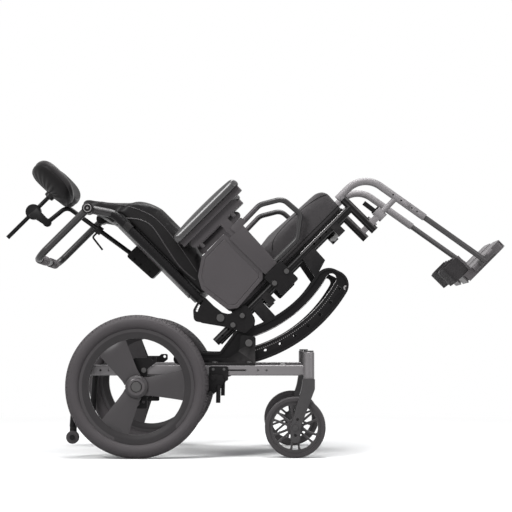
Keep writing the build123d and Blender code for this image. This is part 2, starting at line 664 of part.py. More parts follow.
with BuildPart() as wheel_lock_mounts:
    px, pz = LOCK_PIVOT
    with BuildSketch(base_plane(-BASE_RAIL_OUT)):
        with BuildLine():
            FilletPolyline((px - 12, RAIL_Z + 12), (px - 12, pz - 16), (px + 10, pz - 18), (px + 44, pz - 8),
                           (px + 44, RAIL_Z + 12), radius=6, close=True)
        make_face()
        with Locations((px, RAIL_Z + 3), (px + 32, RAIL_Z + 3)):
            Circle(BOLT_R + BOLT_PLAY, mode=Mode.SUBTRACT)
    extrude(amount=LOCK_PLATE_T)
    rod(base_plane(-BASE_RAIL_OUT - LOCK_PLATE_T), LOCK_PIVOT, BOLT_R, LOCK_PLATE_T + 2 * RUN_GAP)
    rod(base_plane(-BASE_RAIL_OUT - 2 * LOCK_PLATE_T - 2 * RUN_GAP), LOCK_PIVOT, BOLT_HEAD_R, 3)
    mirror(about=Plane.XZ)
write(wheel_lock_mounts.part, "wheel_lock_mounts")

with BuildPart() as wheel_lock_lever:
    sx, sz = LOCK_SHOE
    gx, gz = LOCK_GRIP
    lever_face = BASE_RAIL_OUT + LOCK_PLATE_T + RUN_GAP
    with BuildSketch(base_plane(-lever_face)):
        with BuildLine():
            FilletPolyline((px - 9, pz + 10), (sx - 8, sz + 2), (sx + 2, sz - 8), (gx + 8, gz + 42),
                           (px + 32, pz - 6), (px + 28, pz + 8), radius=(7, 7, 7, 7, 6, 6), close=True)
        make_face()
        with Locations(LOCK_PIVOT):
            Circle(BOLT_R + PIN_FIT, mode=Mode.SUBTRACT)
    extrude(amount=LOCK_PLATE_T)
    rod(base_plane(-lever_face - LOCK_PLATE_T), LOCK_SHOE, LOCK_SHOE_R, WHEEL_Y + TYRE_R - 6 - lever_face
        - LOCK_PLATE_T)
    with BuildLine(base_plane(-lever_face - LOCK_SHOE_R - 1)) as grip_run:
        Line((gx + 1, gz + 50), (gx, gz))
    tube_along(grip_run, LOCK_SHOE_R)
write_both(wheel_lock_lever.part, "wheel_lock_lever")

# ============================================================ rockers

with BuildPart() as rocker:
    neck = SLOT_REAR - degrees(SLOT_W / 2 / SLOT_MID_R) - 2.2
    waist = neck - 8
    with BuildSketch(seat_plane(-ROCKER_Y + ROCKER_FLANGE_T / 2), mode=Mode.PRIVATE) as rocker_outline:
        with BuildLine():
            outer = CenterArc((0, 0), ROCKER_R, TAIL, NOSE - TAIL)
            inner = CenterArc((0, 0), ROCKER_IN_R, neck, NOSE - neck)
            tail = CenterArc((0, 0), ROCKER_TAIL_R, TAIL, waist - TAIL)
            Line(outer @ 1, inner @ 1)
            Line(inner @ 0, tail @ 1)
            Line(tail @ 0, outer @ 0)
        make_face()
        nose = rocker_outline.vertices().sort_by_distance(polar(SLOT_MID_R, NOSE))[:2]
        fillet(rocker_outline.vertices() - nose, ROCKER_ROUND)
        nose = rocker_outline.vertices().sort_by_distance(polar(SLOT_MID_R, NOSE))[:2]
        fillet(nose, NOSE_ROUND)
    with BuildSketch(seat_plane(-ROCKER_Y + ROCKER_FLANGE_T / 2)):
        add(rocker_outline.sketch_local)
        offset(rocker_outline.sketch_local, amount=-ROCKER_FLANGE_W, mode=Mode.SUBTRACT)
    extrude(amount=ROCKER_FLANGE_T)
    with BuildSketch(seat_plane(-ROCKER_Y + ROCKER_WEB_T / 2)):
        add(rocker_outline.sketch_local)
        with BuildLine(mode=Mode.PRIVATE) as slot_line:
            CenterArc((0, 0), SLOT_MID_R, SLOT_REAR, SLOT_FRONT - SLOT_REAR)
        SlotArc(slot_line.line.edge(), SLOT_W, mode=Mode.SUBTRACT)
        for hole in range(ROCKER_HOLES):
            step = (SLOT_FRONT - TAIL - 6) / (ROCKER_HOLES - 1)
            with Locations(polar((ROCKER_R + ROCKER_TAIL_R) / 2, TAIL + 4 + hole * step)):
                Circle(ROCKER_HOLE_R, mode=Mode.SUBTRACT)
    extrude(amount=ROCKER_WEB_T)
    for head, foot in ((STRUT_TOP, STRUT_FOOT), (LUG_TOP, LUG_FOOT)):
        with BuildSketch(seat_plane(-ROCKER_Y + ROCKER_FLANGE_T / 2)):
            with BuildLine():
                Polyline((head[0], SEAT_RAIL_V), (head[1], SEAT_RAIL_V),
                         (foot[1], -sqrt(ROCKER_IN_R ** 2 - foot[1] ** 2) - ROCKER_FLANGE_W / 2),
                         (foot[0], -sqrt(ROCKER_IN_R ** 2 - foot[0] ** 2) - ROCKER_FLANGE_W / 2), close=True)
            make_face()
        extrude(amount=ROCKER_FLANGE_T)
    rod(across_seat(SEAT_RAIL_REAR), (-SEAT_RAIL_Y, SEAT_RAIL_V), SEAT_TUBE_R, POST_U - SEAT_RAIL_REAR,
        Mode.SUBTRACT)
write_both(rocker.part, "rocker")

# ============================================================ seat rails and cross members

with BuildPart() as seat_rails:
    rod(across_seat(SEAT_RAIL_REAR), (-SEAT_RAIL_Y, SEAT_RAIL_V), SEAT_TUBE_R, POST_U - SEAT_RAIL_REAR)
    rod(across_seat(SEAT_RAIL_REAR + 4), (-SEAT_RAIL_Y, SEAT_RAIL_V), SEAT_BORE_R,
        POST_U - POST_R - SEAT_RAIL_REAR - 4, Mode.SUBTRACT)
    rod(plan_of_seat(POST_BOTTOM), (POST_U, -SEAT_RAIL_Y), POST_R, POST_TOP - POST_BOTTOM)
    rod(plan_of_seat(POST_BOTTOM), (POST_U, -SEAT_RAIL_Y), HANGER_PIN_R + PIN_FIT, POST_TOP - POST_BOTTOM,
        Mode.SUBTRACT)
    with BuildSketch(seat_plane(-SEAT_RAIL_Y)):
        with Locations((170, SEAT_RAIL_V), (-215, SEAT_RAIL_V)):
            with GridLocations(SEAT_HOLE_PITCH, 0, 3, 1):
                Circle(SEAT_HOLE_R)
    extrude(amount=SEAT_TUBE_R + 1, mode=Mode.SUBTRACT)
    mirror(about=Plane.XZ)
write(seat_rails.part, "seat_rails")

with BuildPart() as seat_cross_members:
    tube_v = SEAT_RAIL_V - SEAT_TUBE_R - CROSS_MEMBER_R
    for u in CROSS_MEMBER_US:
        for side in (-1, 1):
            with BuildSketch(seat_plane(side * SEAT_RAIL_Y + SADDLE_W / 2)):
                with Locations((u, SEAT_RAIL_V)):
                    Rectangle(SADDLE_L, SEAT_TUBE_R + 2 * CROSS_MEMBER_R + 3,
                              align=(Align.CENTER, Align.MAX))
            extrude(amount=SADDLE_W)
        with BuildSketch(seat_plane(SEAT_RAIL_Y)):
            with Locations((u, tube_v)):
                Circle(CROSS_MEMBER_R)
        extrude(amount=2 * SEAT_RAIL_Y)
    for side in (-1, 1):
        rod(across_seat(SEAT_RAIL_REAR), (side * SEAT_RAIL_Y, SEAT_RAIL_V), SEAT_TUBE_R,
            POST_U - SEAT_RAIL_REAR, Mode.SUBTRACT)
write(seat_cross_members.part, "seat_cross_members")

with BuildPart() as seat_pan:
    with BuildSketch(plan_of_seat(SEAT_RAIL_V + SEAT_TUBE_R)) as pan_outline:
        with Locations(((PAN_FRONT + PAN_REAR) / 2, 0)):
            RectangleRounded(PAN_FRONT - PAN_REAR, 2 * PAN_HALF_W, 20)
        with Locations(((PAN_FRONT + PAN_REAR) / 2, 0)):
            with GridLocations(100, 90, 4, 3):
                SlotOverall(60, 18, mode=Mode.SUBTRACT)
    extrude(amount=PAN_T)
write(seat_pan.part, "seat_pan")

# ============================================================ seat cushion

with BuildPart() as seat_cushion:
    floor_v = SEAT_RAIL_V + SEAT_TUBE_R + PAN_T + RUN_GAP
    with BuildSketch(seat_plane(CUSHION_HALF_W + CUSHION_WAIST)):
        with BuildLine():
            base_line = Line((PAN_REAR - 2, floor_v), (PAN_FRONT - 4, floor_v))
            nose_up = Line(base_line @ 1, (PAN_FRONT, CUSHION_TOP - 34))
            nose_top = ThreePointArc(nose_up @ 1, (PAN_FRONT - 5, CUSHION_TOP - 13),
                                     (PAN_FRONT - 22, CUSHION_TOP))
            thigh = ThreePointArc(nose_top @ 1, (165, CUSHION_TOP + 6), (72, CUSHION_TOP + CUSHION_CROWN))
            well = ThreePointArc(thigh @ 1, (-40, CUSHION_TOP - 2), (PAN_REAR + 8, CUSHION_TOP - 4))
            rear = ThreePointArc(well @ 1, (PAN_REAR - 2, CUSHION_TOP - 16), (PAN_REAR - 5, CUSHION_TOP - 34))
            Line(rear @ 1, base_line @ 0)
        make_face()
    extrude(amount=2 * (CUSHION_HALF_W + CUSHION_WAIST))
    with BuildSketch(across_seat(PAN_REAR - 20)):
        with BuildLine():
            half = CUSHION_HALF_W
            bottom = Line((-half + 6, floor_v - 1), (half - 6, floor_v - 1))
            left = ThreePointArc(bottom @ 1, (half, floor_v + 38), (half - 10, CUSHION_TOP - 8))
            right = ThreePointArc(bottom @ 0, (-half, floor_v + 38), (-half + 10, CUSHION_TOP - 8))
            crown = ThreePointArc(right @ 1, (0, CUSHION_TOP + CUSHION_CROWN + 2), left @ 1)
        make_face()
    extrude(amount=PAN_FRONT - PAN_REAR + 40, mode=Mode.INTERSECT)
    with BuildSketch(plan_of_seat(floor_v - 2)):
        with BuildLine():
            front, back = PAN_FRONT + 2, PAN_REAR - 8
            edge = CUSHION_HALF_W
            side_l = ThreePointArc((back, edge), ((front + back) / 2, edge - CUSHION_WAIST), (front, edge))
            side_r = ThreePointArc((back, -edge), ((front + back) / 2, -edge + CUSHION_WAIST), (front, -edge))
            ThreePointArc(side_l @ 1, (front - CUSHION_WAIST, 0), side_r @ 1)
            ThreePointArc(side_l @ 0, (back + CUSHION_WAIST, 0), side_r @ 0)
        make_face()
    extrude(amount=140, mode=Mode.INTERSECT)
write(seat_cushion.part, "seat_cushion")

# ============================================================ recline hinge plates

with BuildPart() as hinge_plates:
    with BuildSketch(seat_plane(-SEAT_RAIL_OUT)):
        with BuildLine():
            FilletPolyline((-270, -190), (-248, -165), (-203, -152), (-193, -230), (-181, -250), (-124, -264),
                           (-136, -312), (-152, -324), (-188, -324), (-197, -303), (-219, -262),
                           radius=(14, 14, 10, 30, 20, 12, 12, 12, 10, 12, 20), close=True)
        make_face()
        with Locations((RECLINE_U, RECLINE_V)):
            Circle(RECLINE_PIN_R + BOLT_PLAY, mode=Mode.SUBTRACT)
            with PolarLocations(INDEX_R, INDEX_HOLES, start_angle=93, angular_range=INDEX_STEP
                                * (INDEX_HOLES - 1)):
                Circle(3.2, mode=Mode.SUBTRACT)
        with Locations((-157, SEAT_RAIL_V), (-196, SEAT_RAIL_V)):
            Circle(BOLT_R + BOLT_PLAY, mode=Mode.SUBTRACT)
    extrude(amount=HINGE_T)
    mirror(about=Plane.XZ)
write(hinge_plates.part, "hinge_plates")

# ============================================================ armrest receivers

with BuildPart() as arm_receivers:
    with BuildSketch(seat_plane(-SEAT_RAIL_OUT)):
        with Locations((sum(RECEIVER_US) / 2, (RECEIVER_V_TOP + RECEIVER_V_BOTTOM) / 2)):
            RectangleRounded(RECEIVER_US[1] - RECEIVER_US[0], RECEIVER_V_TOP - RECEIVER_V_BOTTOM, 6)
    extrude(amount=RECEIVER_T)
    with BuildSketch(plan_of_seat(STUB_BOTTOM - RUN_GAP)):
        with Locations((sum(SLEEVE) / 2, -ARM_Y)):
            Rectangle(STUB_W + 2 * SLIDE_FIT, ARM_BAR_T + 2 * SLIDE_FIT)
    extrude(amount=RECEIVER_V_TOP - STUB_BOTTOM + 1, mode=Mode.SUBTRACT)
    with BuildSketch(seat_plane(-SEAT_RAIL_OUT)):
        with Locations((RECEIVER_US[0] + 10, SEAT_RAIL_V), (RECEIVER_US[1] - 10, SEAT_RAIL_V)):
            Circle(BOLT_R + BOLT_PLAY)
    extrude(amount=RECEIVER_T, mode=Mode.SUBTRACT)
    mirror(about=Plane.XZ)
write(arm_receivers.part, "arm_receivers")

# ============================================================ back canes

KNUCKLE_IN = SEAT_RAIL_Y - SEAT_TUBE_R - 1
HANDLE_IN = HANDLE_Y - HANDLE_TUBE_R

with BuildPart() as back_canes:
    with BuildLine(seat_plane(-SEAT_RAIL_Y)) as cane_run:
        FilletPolyline((CANE_U, CANE_BOTTOM), CANE_BEND, HANDLE_PIVOT, radius=60)
    tube_along(cane_run, SEAT_TUBE_R, SEAT_BORE_R)
    rod(seat_plane(-KNUCKLE_IN), HANDLE_PIVOT, KNUCKLE_R, HANDLE_IN - RUN_GAP - KNUCKLE_IN)
    rod(seat_plane(-HANDLE_IN + RUN_GAP), HANDLE_PIVOT, HANDLE_PIN_R, 2 * HANDLE_TUBE_R + 2 * RUN_GAP)
    rod(seat_plane(-HANDLE_Y - HANDLE_TUBE_R - RUN_GAP), HANDLE_PIVOT, KNUCKLE_R - 3, 4)
    rod(seat_plane(-KNUCKLE_IN), (RECLINE_U, RECLINE_V), RECLINE_PIN_R + PIN_FIT,
        SEAT_RAIL_OUT - KNUCKLE_IN + 1, Mode.SUBTRACT)
    mirror(about=Plane.XZ)
write(back_canes.part, "back_canes")

# ============================================================ back shell and cushion

SAG = SHELL_EDGE_U - SHELL_BACK_U

with BuildPart() as back_shell:
    with BuildSketch(plan_of_seat(SHELL_BOTTOM)):
        with BuildLine():
            back_arc = ThreePointArc((SHELL_EDGE_U, -SHELL_HALF_W), (SHELL_BACK_U, 0),
                                     (SHELL_EDGE_U, SHELL_HALF_W))
            front_arc = ThreePointArc((SHELL_EDGE_U + SHELL_T, -SHELL_HALF_W), (SHELL_BACK_U + SHELL_T, 0),
                                      (SHELL_EDGE_U + SHELL_T, SHELL_HALF_W))
            Line(back_arc @ 0, front_arc @ 0)
            Line(back_arc @ 1, front_arc @ 1)
        make_face()
    extrude(amount=SHELL_TOP - SHELL_BOTTOM)
    with BuildSketch(across_seat(SHELL_BACK_U - 10)):
        with BuildLine():
            FilletPolyline((-SHELL_HALF_W, SHELL_BOTTOM + 40), (-SHELL_HALF_W + 30, SHELL_BOTTOM),
                           (SHELL_HALF_W - 30, SHELL_BOTTOM), (SHELL_HALF_W, SHELL_BOTTOM + 40),
                           (SHELL_HALF_W, SHELL_TOP - 30), (SHELL_HALF_W - 50, SHELL_TOP),
                           (-SHELL_HALF_W + 50, SHELL_TOP), (-SHELL_HALF_W, SHELL_TOP - 30),
                           radius=16, close=True)
        make_face()
    extrude(amount=SAG + 20, mode=Mode.INTERSECT)
    for hook_v in HOOK_VS:
        for side in (-1, 1):
            with BuildSketch(plan_of_seat(hook_v)):
                with Locations((SHELL_EDGE_U + SHELL_T / 2, side * (SHELL_HALF_W - 6))):
                    Rectangle(SHELL_T + 5, SEAT_RAIL_Y - SEAT_TUBE_R - SHELL_HALF_W + 6,
                              align=(Align.CENTER, Align.MIN if side > 0 else Align.MAX))
            extrude(amount=24)
write(back_shell.part, "back_shell")

CUSHION_BACK_U = CANE_U + SEAT_TUBE_R + 1.0
CREST_V = CANE_BEND[1] - 6
CREST_HALF_W = KNUCKLE_IN - CREST_SIDE_GAP

with BuildSketch() as cushion_side:
    with BuildLine():
        back_low = Line((SHELL_BACK_U, -148), (SHELL_BACK_U, CREST_V + 4))
        lean_back = Line(back_low @ 1, (-262, 296))
        crest = ThreePointArc(lean_back @ 1, (-251, 303), (-238, 297))
        shoulder = ThreePointArc(crest @ 1, (-186, 228), (-140, 184))
        chest = ThreePointArc(shoulder @ 1, (-104, 115), (-101, 52))
        lumbar = ThreePointArc(chest @ 1, (-107, -22), (-128, -80))
        seat_end = ThreePointArc(lumbar @ 1, (-142, -118), (-166, -150))
        Line(seat_end @ 1, back_low @ 0)
    make_face()

with BuildPart() as cushion_crest:
    with BuildSketch(seat_plane(CREST_HALF_W)):
        add(cushion_side.sketch_local)
    extrude(amount=2 * CREST_HALF_W)
    with BuildSketch(across_seat(-280)):
        with BuildLine():
            FilletPolyline((-CREST_HALF_W, CREST_V - 8), (CREST_HALF_W, CREST_V - 8),
                           (CREST_HALF_W, CREST_V + 105), (-CREST_HALF_W, CREST_V + 105),
                           radius=(0, 0, CREST_ROUND, CREST_ROUND), close=True)
        make_face()
    extrude(amount=160, mode=Mode.INTERSECT)

with BuildPart() as back_cushion:
    with BuildSketch(seat_plane(BACK_CUSHION_HALF_W + 4)):
        add(cushion_side.sketch_local)
    extrude(amount=2 * (BACK_CUSHION_HALF_W + 4))
    with BuildSketch(plan_of_seat(-160)):
        with BuildLine():
            half = BACK_CUSHION_HALF_W
            inner = SHELL_HALF_W - 4
            behind = ThreePointArc((SHELL_EDGE_U + SHELL_T + 3, -inner),
                                   (SHELL_BACK_U + SHELL_T + RUN_GAP, 0),
                                   (SHELL_EDGE_U + SHELL_T + 3, inner))
            for side, point in ((-1, behind @ 0), (1, behind @ 1)):
                Polyline(point, (CUSHION_BACK_U, side * (inner + 1)), (CUSHION_BACK_U, side * (half - 4)))
                ThreePointArc((CUSHION_BACK_U, side * (half - 4)), (-172, side * half),
                              (-140, side * (half - 6)))
                ThreePointArc((-140, side * (half - 6)), (-106, side * (half - 26)),
                              (-112, side * (half - 62)))
            ThreePointArc((-112, -half + 62), (-148, 0), (-112, half - 62))
        make_face()
    extrude(amount=CREST_V + 160, mode=Mode.INTERSECT)
    add(cushion_crest.part)
write(back_cushion.part, "back_cushion")

# ============================================================ headrest


def post_u(v):
    """u of the headrest post's middle at a height v."""
    slope = (BAR_CORNER[0] - BAR_FOOT[0]) / (BAR_CORNER[1] - BAR_FOOT[1])
    return BAR_FOOT[0] + slope * (v - BAR_FOOT[1])


with BuildPart() as headrest_receiver:
    with BuildSketch(seat_plane(RECEIVER_HALF_W)):
        with BuildLine():
            FilletPolyline((SHELL_BACK_U, RECEIVER_BOTTOM), (SHELL_BACK_U, RECEIVER_TOP),
                           (RECEIVER_BACK_U - 2, RECEIVER_TOP), (RECEIVER_BACK_U + 4, RECEIVER_BOTTOM),
                           radius=(0, 0, 8, 8), close=True)
        make_face()
    extrude(amount=2 * RECEIVER_HALF_W)
    with BuildSketch(plan_of_seat(RECEIVER_BOTTOM - 1)):
        with BuildLine():
            ThreePointArc((SHELL_EDGE_U, -SHELL_HALF_W), (SHELL_BACK_U, 0), (SHELL_EDGE_U, SHELL_HALF_W))
            Line((SHELL_EDGE_U, -SHELL_HALF_W), (SHELL_EDGE_U, SHELL_HALF_W))
        make_face()
    extrude(amount=RECEIVER_TOP - RECEIVER_BOTTOM + 2, mode=Mode.SUBTRACT)
    with BuildLine(seat_plane(0), mode=Mode.PRIVATE) as bore_run:
        Line(BAR_FOOT, BAR_CORNER)
    with BuildSketch(Plane(origin=bore_run.line @ 0, z_dir=bore_run.line % 0)):
        Circle(POST_BAR_R + SLIDE_FIT)
    extrude(amount=160, both=True, mode=Mode.SUBTRACT)
    for face_y in (-RECEIVER_HALF_W + 6, RECEIVER_HALF_W):
        for place in ((-268, 82), (-266, 57), (-263, 22)):
            rod(seat_plane(face_y), place, 3.5, 6, Mode.SUBTRACT)
write(headrest_receiver.part, "headrest_receiver")

with BuildPart() as headrest_post:
    with BuildLine(seat_plane(0)) as bar_run:
        FilletPolyline(BAR_FOOT, BAR_CORNER, BAR_END, radius=BAR_BEND_R)
    tube_along(bar_run, POST_BAR_R)
    rod(seat_plane(8), BAR_END, 13, 16)
    rod(seat_plane(8), BAR_END, 4 + PIN_FIT, 16, Mode.SUBTRACT)
    rod(Plane(origin=seat_point(post_u(COLLAR_V), COLLAR_V), z_dir=bar_run.line % 0), (0, 0), COLLAR_R,
        COLLAR_L)
    with BuildLine(seat_plane(0)) as collar_lever:
        FilletPolyline((post_u(COLLAR_V) - COLLAR_R + 3, COLLAR_V + 8), (-313, COLLAR_V + 8),
                       (-319, COLLAR_V - 42), radius=6)
    tube_along(collar_lever, 3)
write(headrest_post.part, "headrest_post")

with BuildPart() as headrest_arm:
    cu, cv = ARM_CLAMP
    rod(seat_plane(13), ARM_CLAMP, ARM_CLAMP_R, 26)
    fillet(headrest_arm.edges().filter_by(GeomType.CIRCLE), 3)
    for face_y in (13.3, -8.3):
        with BuildSketch(seat_plane(face_y)):
            with BuildLine():
                FilletPolyline((BAR_END[0] - 9, BAR_END[1] - 9), (BAR_END[0] + 9, BAR_END[1] - 9),
                               (cu + 16, cv), (cu - 16, cv), radius=(7, 7, 0, 0), close=True)
            make_face()
        extrude(amount=5)
    rod(seat_plane(13), BAR_END, 4, 26)
    with BuildSketch(across_seat(ROD_REAR)):
        with Locations((0, cv)):
            Circle(ROD_R)
    extrude(amount=BALL_U - ROD_REAR)
    with Locations(seat_point(BALL_U, cv)):
        Sphere(BALL_R)
write(headrest_arm.part, "headrest_arm")

with BuildPart() as headrest_pad:
    pad_front = -248.0
    pad_back = BALL_U + BALL_R + 6
    with BuildSketch(plan_of_seat(cv - 80)):
        with BuildLine():
            face_arc = ThreePointArc((pad_front + 26, -PAD_HALF_W), (pad_front - 12, 0),
                                     (pad_front + 26, PAD_HALF_W))
            tail_arc = ThreePointArc((pad_back + 22, -PAD_HALF_W + 14), (pad_back, 0),
                                     (pad_back + 22, PAD_HALF_W - 14))
            ThreePointArc(face_arc @ 0, (pad_front + 2, -PAD_HALF_W - 2), tail_arc @ 0)
            ThreePointArc(face_arc @ 1, (pad_front + 2, PAD_HALF_W + 2), tail_arc @ 1)
        make_face()
    extrude(amount=175)
    with BuildSketch(across_seat(pad_back - 20)):
        with Locations((0, cv + 10)):
            Ellipse(PAD_HALF_W + 3, 78)
    extrude(amount=140, mode=Mode.INTERSECT)
    with BuildSketch(seat_plane(PAD_HALF_W + 10)):
        with BuildLine():
            low = ThreePointArc((pad_back - 4, cv + 20), (pad_back + 10, cv - 52), (pad_back + 34, cv - 72))
            high = ThreePointArc((pad_back - 4, cv + 20), (pad_back + 6, cv + 72), (pad_back + 26, cv + 90))
            ThreePointArc(low @ 1, (pad_front + 42, cv + 12), high @ 1)
        make_face()
    extrude(amount=2 * (PAD_HALF_W + 10), mode=Mode.INTERSECT)
    rod(across_seat(BALL_U - 5), (0, cv), 16, pad_back - BALL_U + 9)
    with Locations(seat_point(BALL_U, cv)):
        Sphere(BALL_R + RUN_GAP, mode=Mode.SUBTRACT)
    with BuildSketch(across_seat(BALL_U - 6)):
        with Locations((0, cv)):
            Circle(BALL_R - 0.5)
    extrude(amount=6, mode=Mode.SUBTRACT)
write(headrest_pad.part, "headrest_pad")

# ============================================================ push handle

with BuildPart() as push_handle:
    pu, pv = HANDLE_PIVOT
    for side in (-1, 1):
        rod(seat_plane(side * HANDLE_Y + HANDLE_TUBE_R), HANDLE_PIVOT, KNUCKLE_R, 2 * HANDLE_TUBE_R)
    with BuildLine(plan_of_seat(pv)) as handle_run:
        FilletPolyline((pu - 6, -HANDLE_Y), (pu - HANDLE_REACH, -HANDLE_Y), (pu - HANDLE_REACH, HANDLE_Y),
                       (pu - 6, HANDLE_Y), radius=HANDLE_BEND_R)
    tube_along(handle_run, HANDLE_TUBE_R)
    for side in (-1, 1):
        rod(seat_plane(side * HANDLE_Y + HANDLE_TUBE_R), HANDLE_PIVOT, HANDLE_PIN_R + PIN_FIT,
            2 * HANDLE_TUBE_R, Mode.SUBTRACT)
write(push_handle.part, "push_handle")

with BuildPart() as push_grips:
    for middle in (-HANDLE_Y + HANDLE_BEND_R + GRIP_L / 2 + 8, HANDLE_Y - HANDLE_BEND_R - GRIP_L / 2 - 8):
        with BuildSketch(seat_plane(middle + GRIP_L / 2)):
            with Locations((pu - HANDLE_REACH, pv)):
                Circle(GRIP_R)
                Circle(HANDLE_TUBE_R, mode=Mode.SUBTRACT)
        extrude(amount=GRIP_L)
write(push_grips.part, "push_grips")

# ============================================================ armrests

SLEEVE_MID = sum(SLEEVE) / 2

with BuildPart() as arm_post:
    with BuildSketch(seat_plane(-ARM_Y + SLEEVE_T / 2)):
        with BuildLine():
            FilletPolyline((SLEEVE[0], SLEEVE_BOTTOM), (SLEEVE[1], SLEEVE_BOTTOM), (SLEEVE[1] + 8, SLEEVE_TOP),
                           (SLEEVE[0], SLEEVE_TOP), radius=4, close=True)
        make_face()
        with Locations((SLEEVE_MID + 22, SLEEVE_TOP + 10)):
            RectangleRounded(46, 22, 5)
    extrude(amount=SLEEVE_T)
    with BuildSketch(plan_of_seat(STUB_BOTTOM)):
        with Locations((SLEEVE_MID, -ARM_Y)):
            Rectangle(STUB_W, ARM_BAR_T)
    extrude(amount=SLEEVE_BOTTOM - STUB_BOTTOM)
    with BuildLine(seat_plane(-ARM_Y)) as loop_run:
        FilletPolyline((SLEEVE[1] - 6, -86), (112, -84), (173, -120), (178, -190), (118, -235),
                       (SLEEVE[1] - 6, -235), radius=LOOP_RADII)
    tube_along(loop_run, LOOP_R)
    with BuildSketch(plan_of_seat(ARM_BAR_BOTTOM - 20)):
        with Locations((SLEEVE_MID, -ARM_Y)):
            Rectangle(ARM_BAR_W + 2 * SLIDE_FIT, ARM_BAR_T + 2 * SLIDE_FIT)
    extrude(amount=SLEEVE_TOP - ARM_BAR_BOTTOM + 60, mode=Mode.SUBTRACT)
write_both(arm_post.part, "arm_post")

with BuildPart() as side_guard:
    with BuildSketch(seat_plane(-ARM_Y + GUARD_T / 2)) as guard_outline:
        with BuildLine():
            FilletPolyline((SLEEVE[0], SLEEVE_TOP + 22), (-118, -72), (-168, -105), (-187, -140),
                           (-175, -236), (-150, -255), (SLEEVE[0] - 15, RECEIVER_V_TOP - 2),
                           (SLEEVE[0], RECEIVER_V_TOP + 13), radius=(8, 16, 16, 14, 20, 12, 8, 0), close=True)
        make_face()
    extrude(amount=GUARD_T)
    with BuildSketch(seat_plane(-ARM_Y - GUARD_T / 2 + GUARD_GROOVE)):
        offset(guard_outline.sketch_local, amount=-10)
        offset(guard_outline.sketch_local, amount=-13, mode=Mode.SUBTRACT)
    extrude(amount=GUARD_GROOVE, mode=Mode.SUBTRACT)
write_both(side_guard.part, "side_guard")

with BuildPart() as arm_upper:
    with BuildSketch(seat_plane(-ARM_Y + ARM_BAR_T / 2)):
        with Locations((SLEEVE_MID, ARM_BAR_BOTTOM)):
            Rectangle(ARM_BAR_W, ARM_RAIL_TOP - ARM_BAR_BOTTOM, align=(Align.CENTER, Align.MIN))
        with Locations(((ARM_RAIL[0] + ARM_RAIL[1]) / 2, (ARM_RAIL_TOP + ARM_RAIL_BOTTOM) / 2)):
            SlotOverall(ARM_RAIL[1] - ARM_RAIL[0], ARM_RAIL_TOP - ARM_RAIL_BOTTOM)
    extrude(amount=ARM_BAR_T)
    with BuildSketch(plan_of_seat(ARM_RAIL_TOP)):
        with Locations(((CHANNEL[0] + CHANNEL[1]) / 2, -ARM_Y)):
            RectangleRounded(CHANNEL[1] - CHANNEL[0], 2 * CHANNEL_HALF_W, 6)
    extrude(amount=ARM_PAD_BOTTOM - ARM_RAIL_TOP)
    for screw_u in (ARM_RAIL[0] + 24, ARM_RAIL[1] - 38):
        rod(plan_of_seat(ARM_RAIL_BOTTOM - 14), (screw_u, -ARM_Y), 6, 16)
write_both(arm_upper.part, "arm_upper")

with BuildPart() as arm_pad:
    with BuildSketch(seat_plane(-ARM_PAD_Y + ARM_PAD_HALF_W + 2)):
        with BuildLine():
            bottom = Line((ARM_PAD[0] + 2, ARM_PAD_BOTTOM), (ARM_PAD[1] - 2, ARM_PAD_BOTTOM))
            front_up = ThreePointArc(bottom @ 1, (ARM_PAD[1], 14), (ARM_PAD[1] - 14, 30))
            back_up = ThreePointArc(bottom @ 0, (ARM_PAD[0], 14), (ARM_PAD[0] + 10, 29))
            ThreePointArc(back_up @ 1, (0, ARM_PAD_TOP), front_up @ 1)
        make_face()
    extrude(amount=2 * ARM_PAD_HALF_W + 4)
    with BuildSketch(across_seat(ARM_PAD[0] - 5)):
        with BuildLine():
            outer_y = -ARM_PAD_Y - ARM_PAD_HALF_W
            inner_y = -ARM_PAD_Y + ARM_PAD_HALF_W
            low = Line((outer_y + 5, ARM_PAD_BOTTOM), (inner_y - 5, ARM_PAD_BOTTOM))
            out = ThreePointArc(low @ 0, (outer_y, 14), (outer_y + 8, 28))
            inward = ThreePointArc(low @ 1, (inner_y, 14), (inner_y - 8, 28))
            ThreePointArc(out @ 1, (-ARM_PAD_Y, ARM_PAD_TOP), inward @ 1)
        make_face()
    extrude(amount=ARM_PAD[1] - ARM_PAD[0] + 10, mode=Mode.INTERSECT)
    with BuildSketch(plan_of_seat(ARM_PAD_BOTTOM - 1)):
        with Locations(((ARM_PAD[0] + ARM_PAD[1]) / 2, -ARM_PAD_Y)):
            RectangleRounded(ARM_PAD[1] - ARM_PAD[0], 2 * ARM_PAD_HALF_W, 22)
    extrude(amount=50, mode=Mode.INTERSECT)
write_both(arm_pad.part, "arm_pad")

# ============================================================ legrests

def leg_line(v):
    """u of the legrest tube's middle at a height v."""
    slope = (HANGER_END[0] - LEG_TUBE_TOP[0]) / (HANGER_END[1] - LEG_TUBE_TOP[1])
    return LEG_TUBE_TOP[0] + slope * (v - LEG_TUBE_TOP[1])


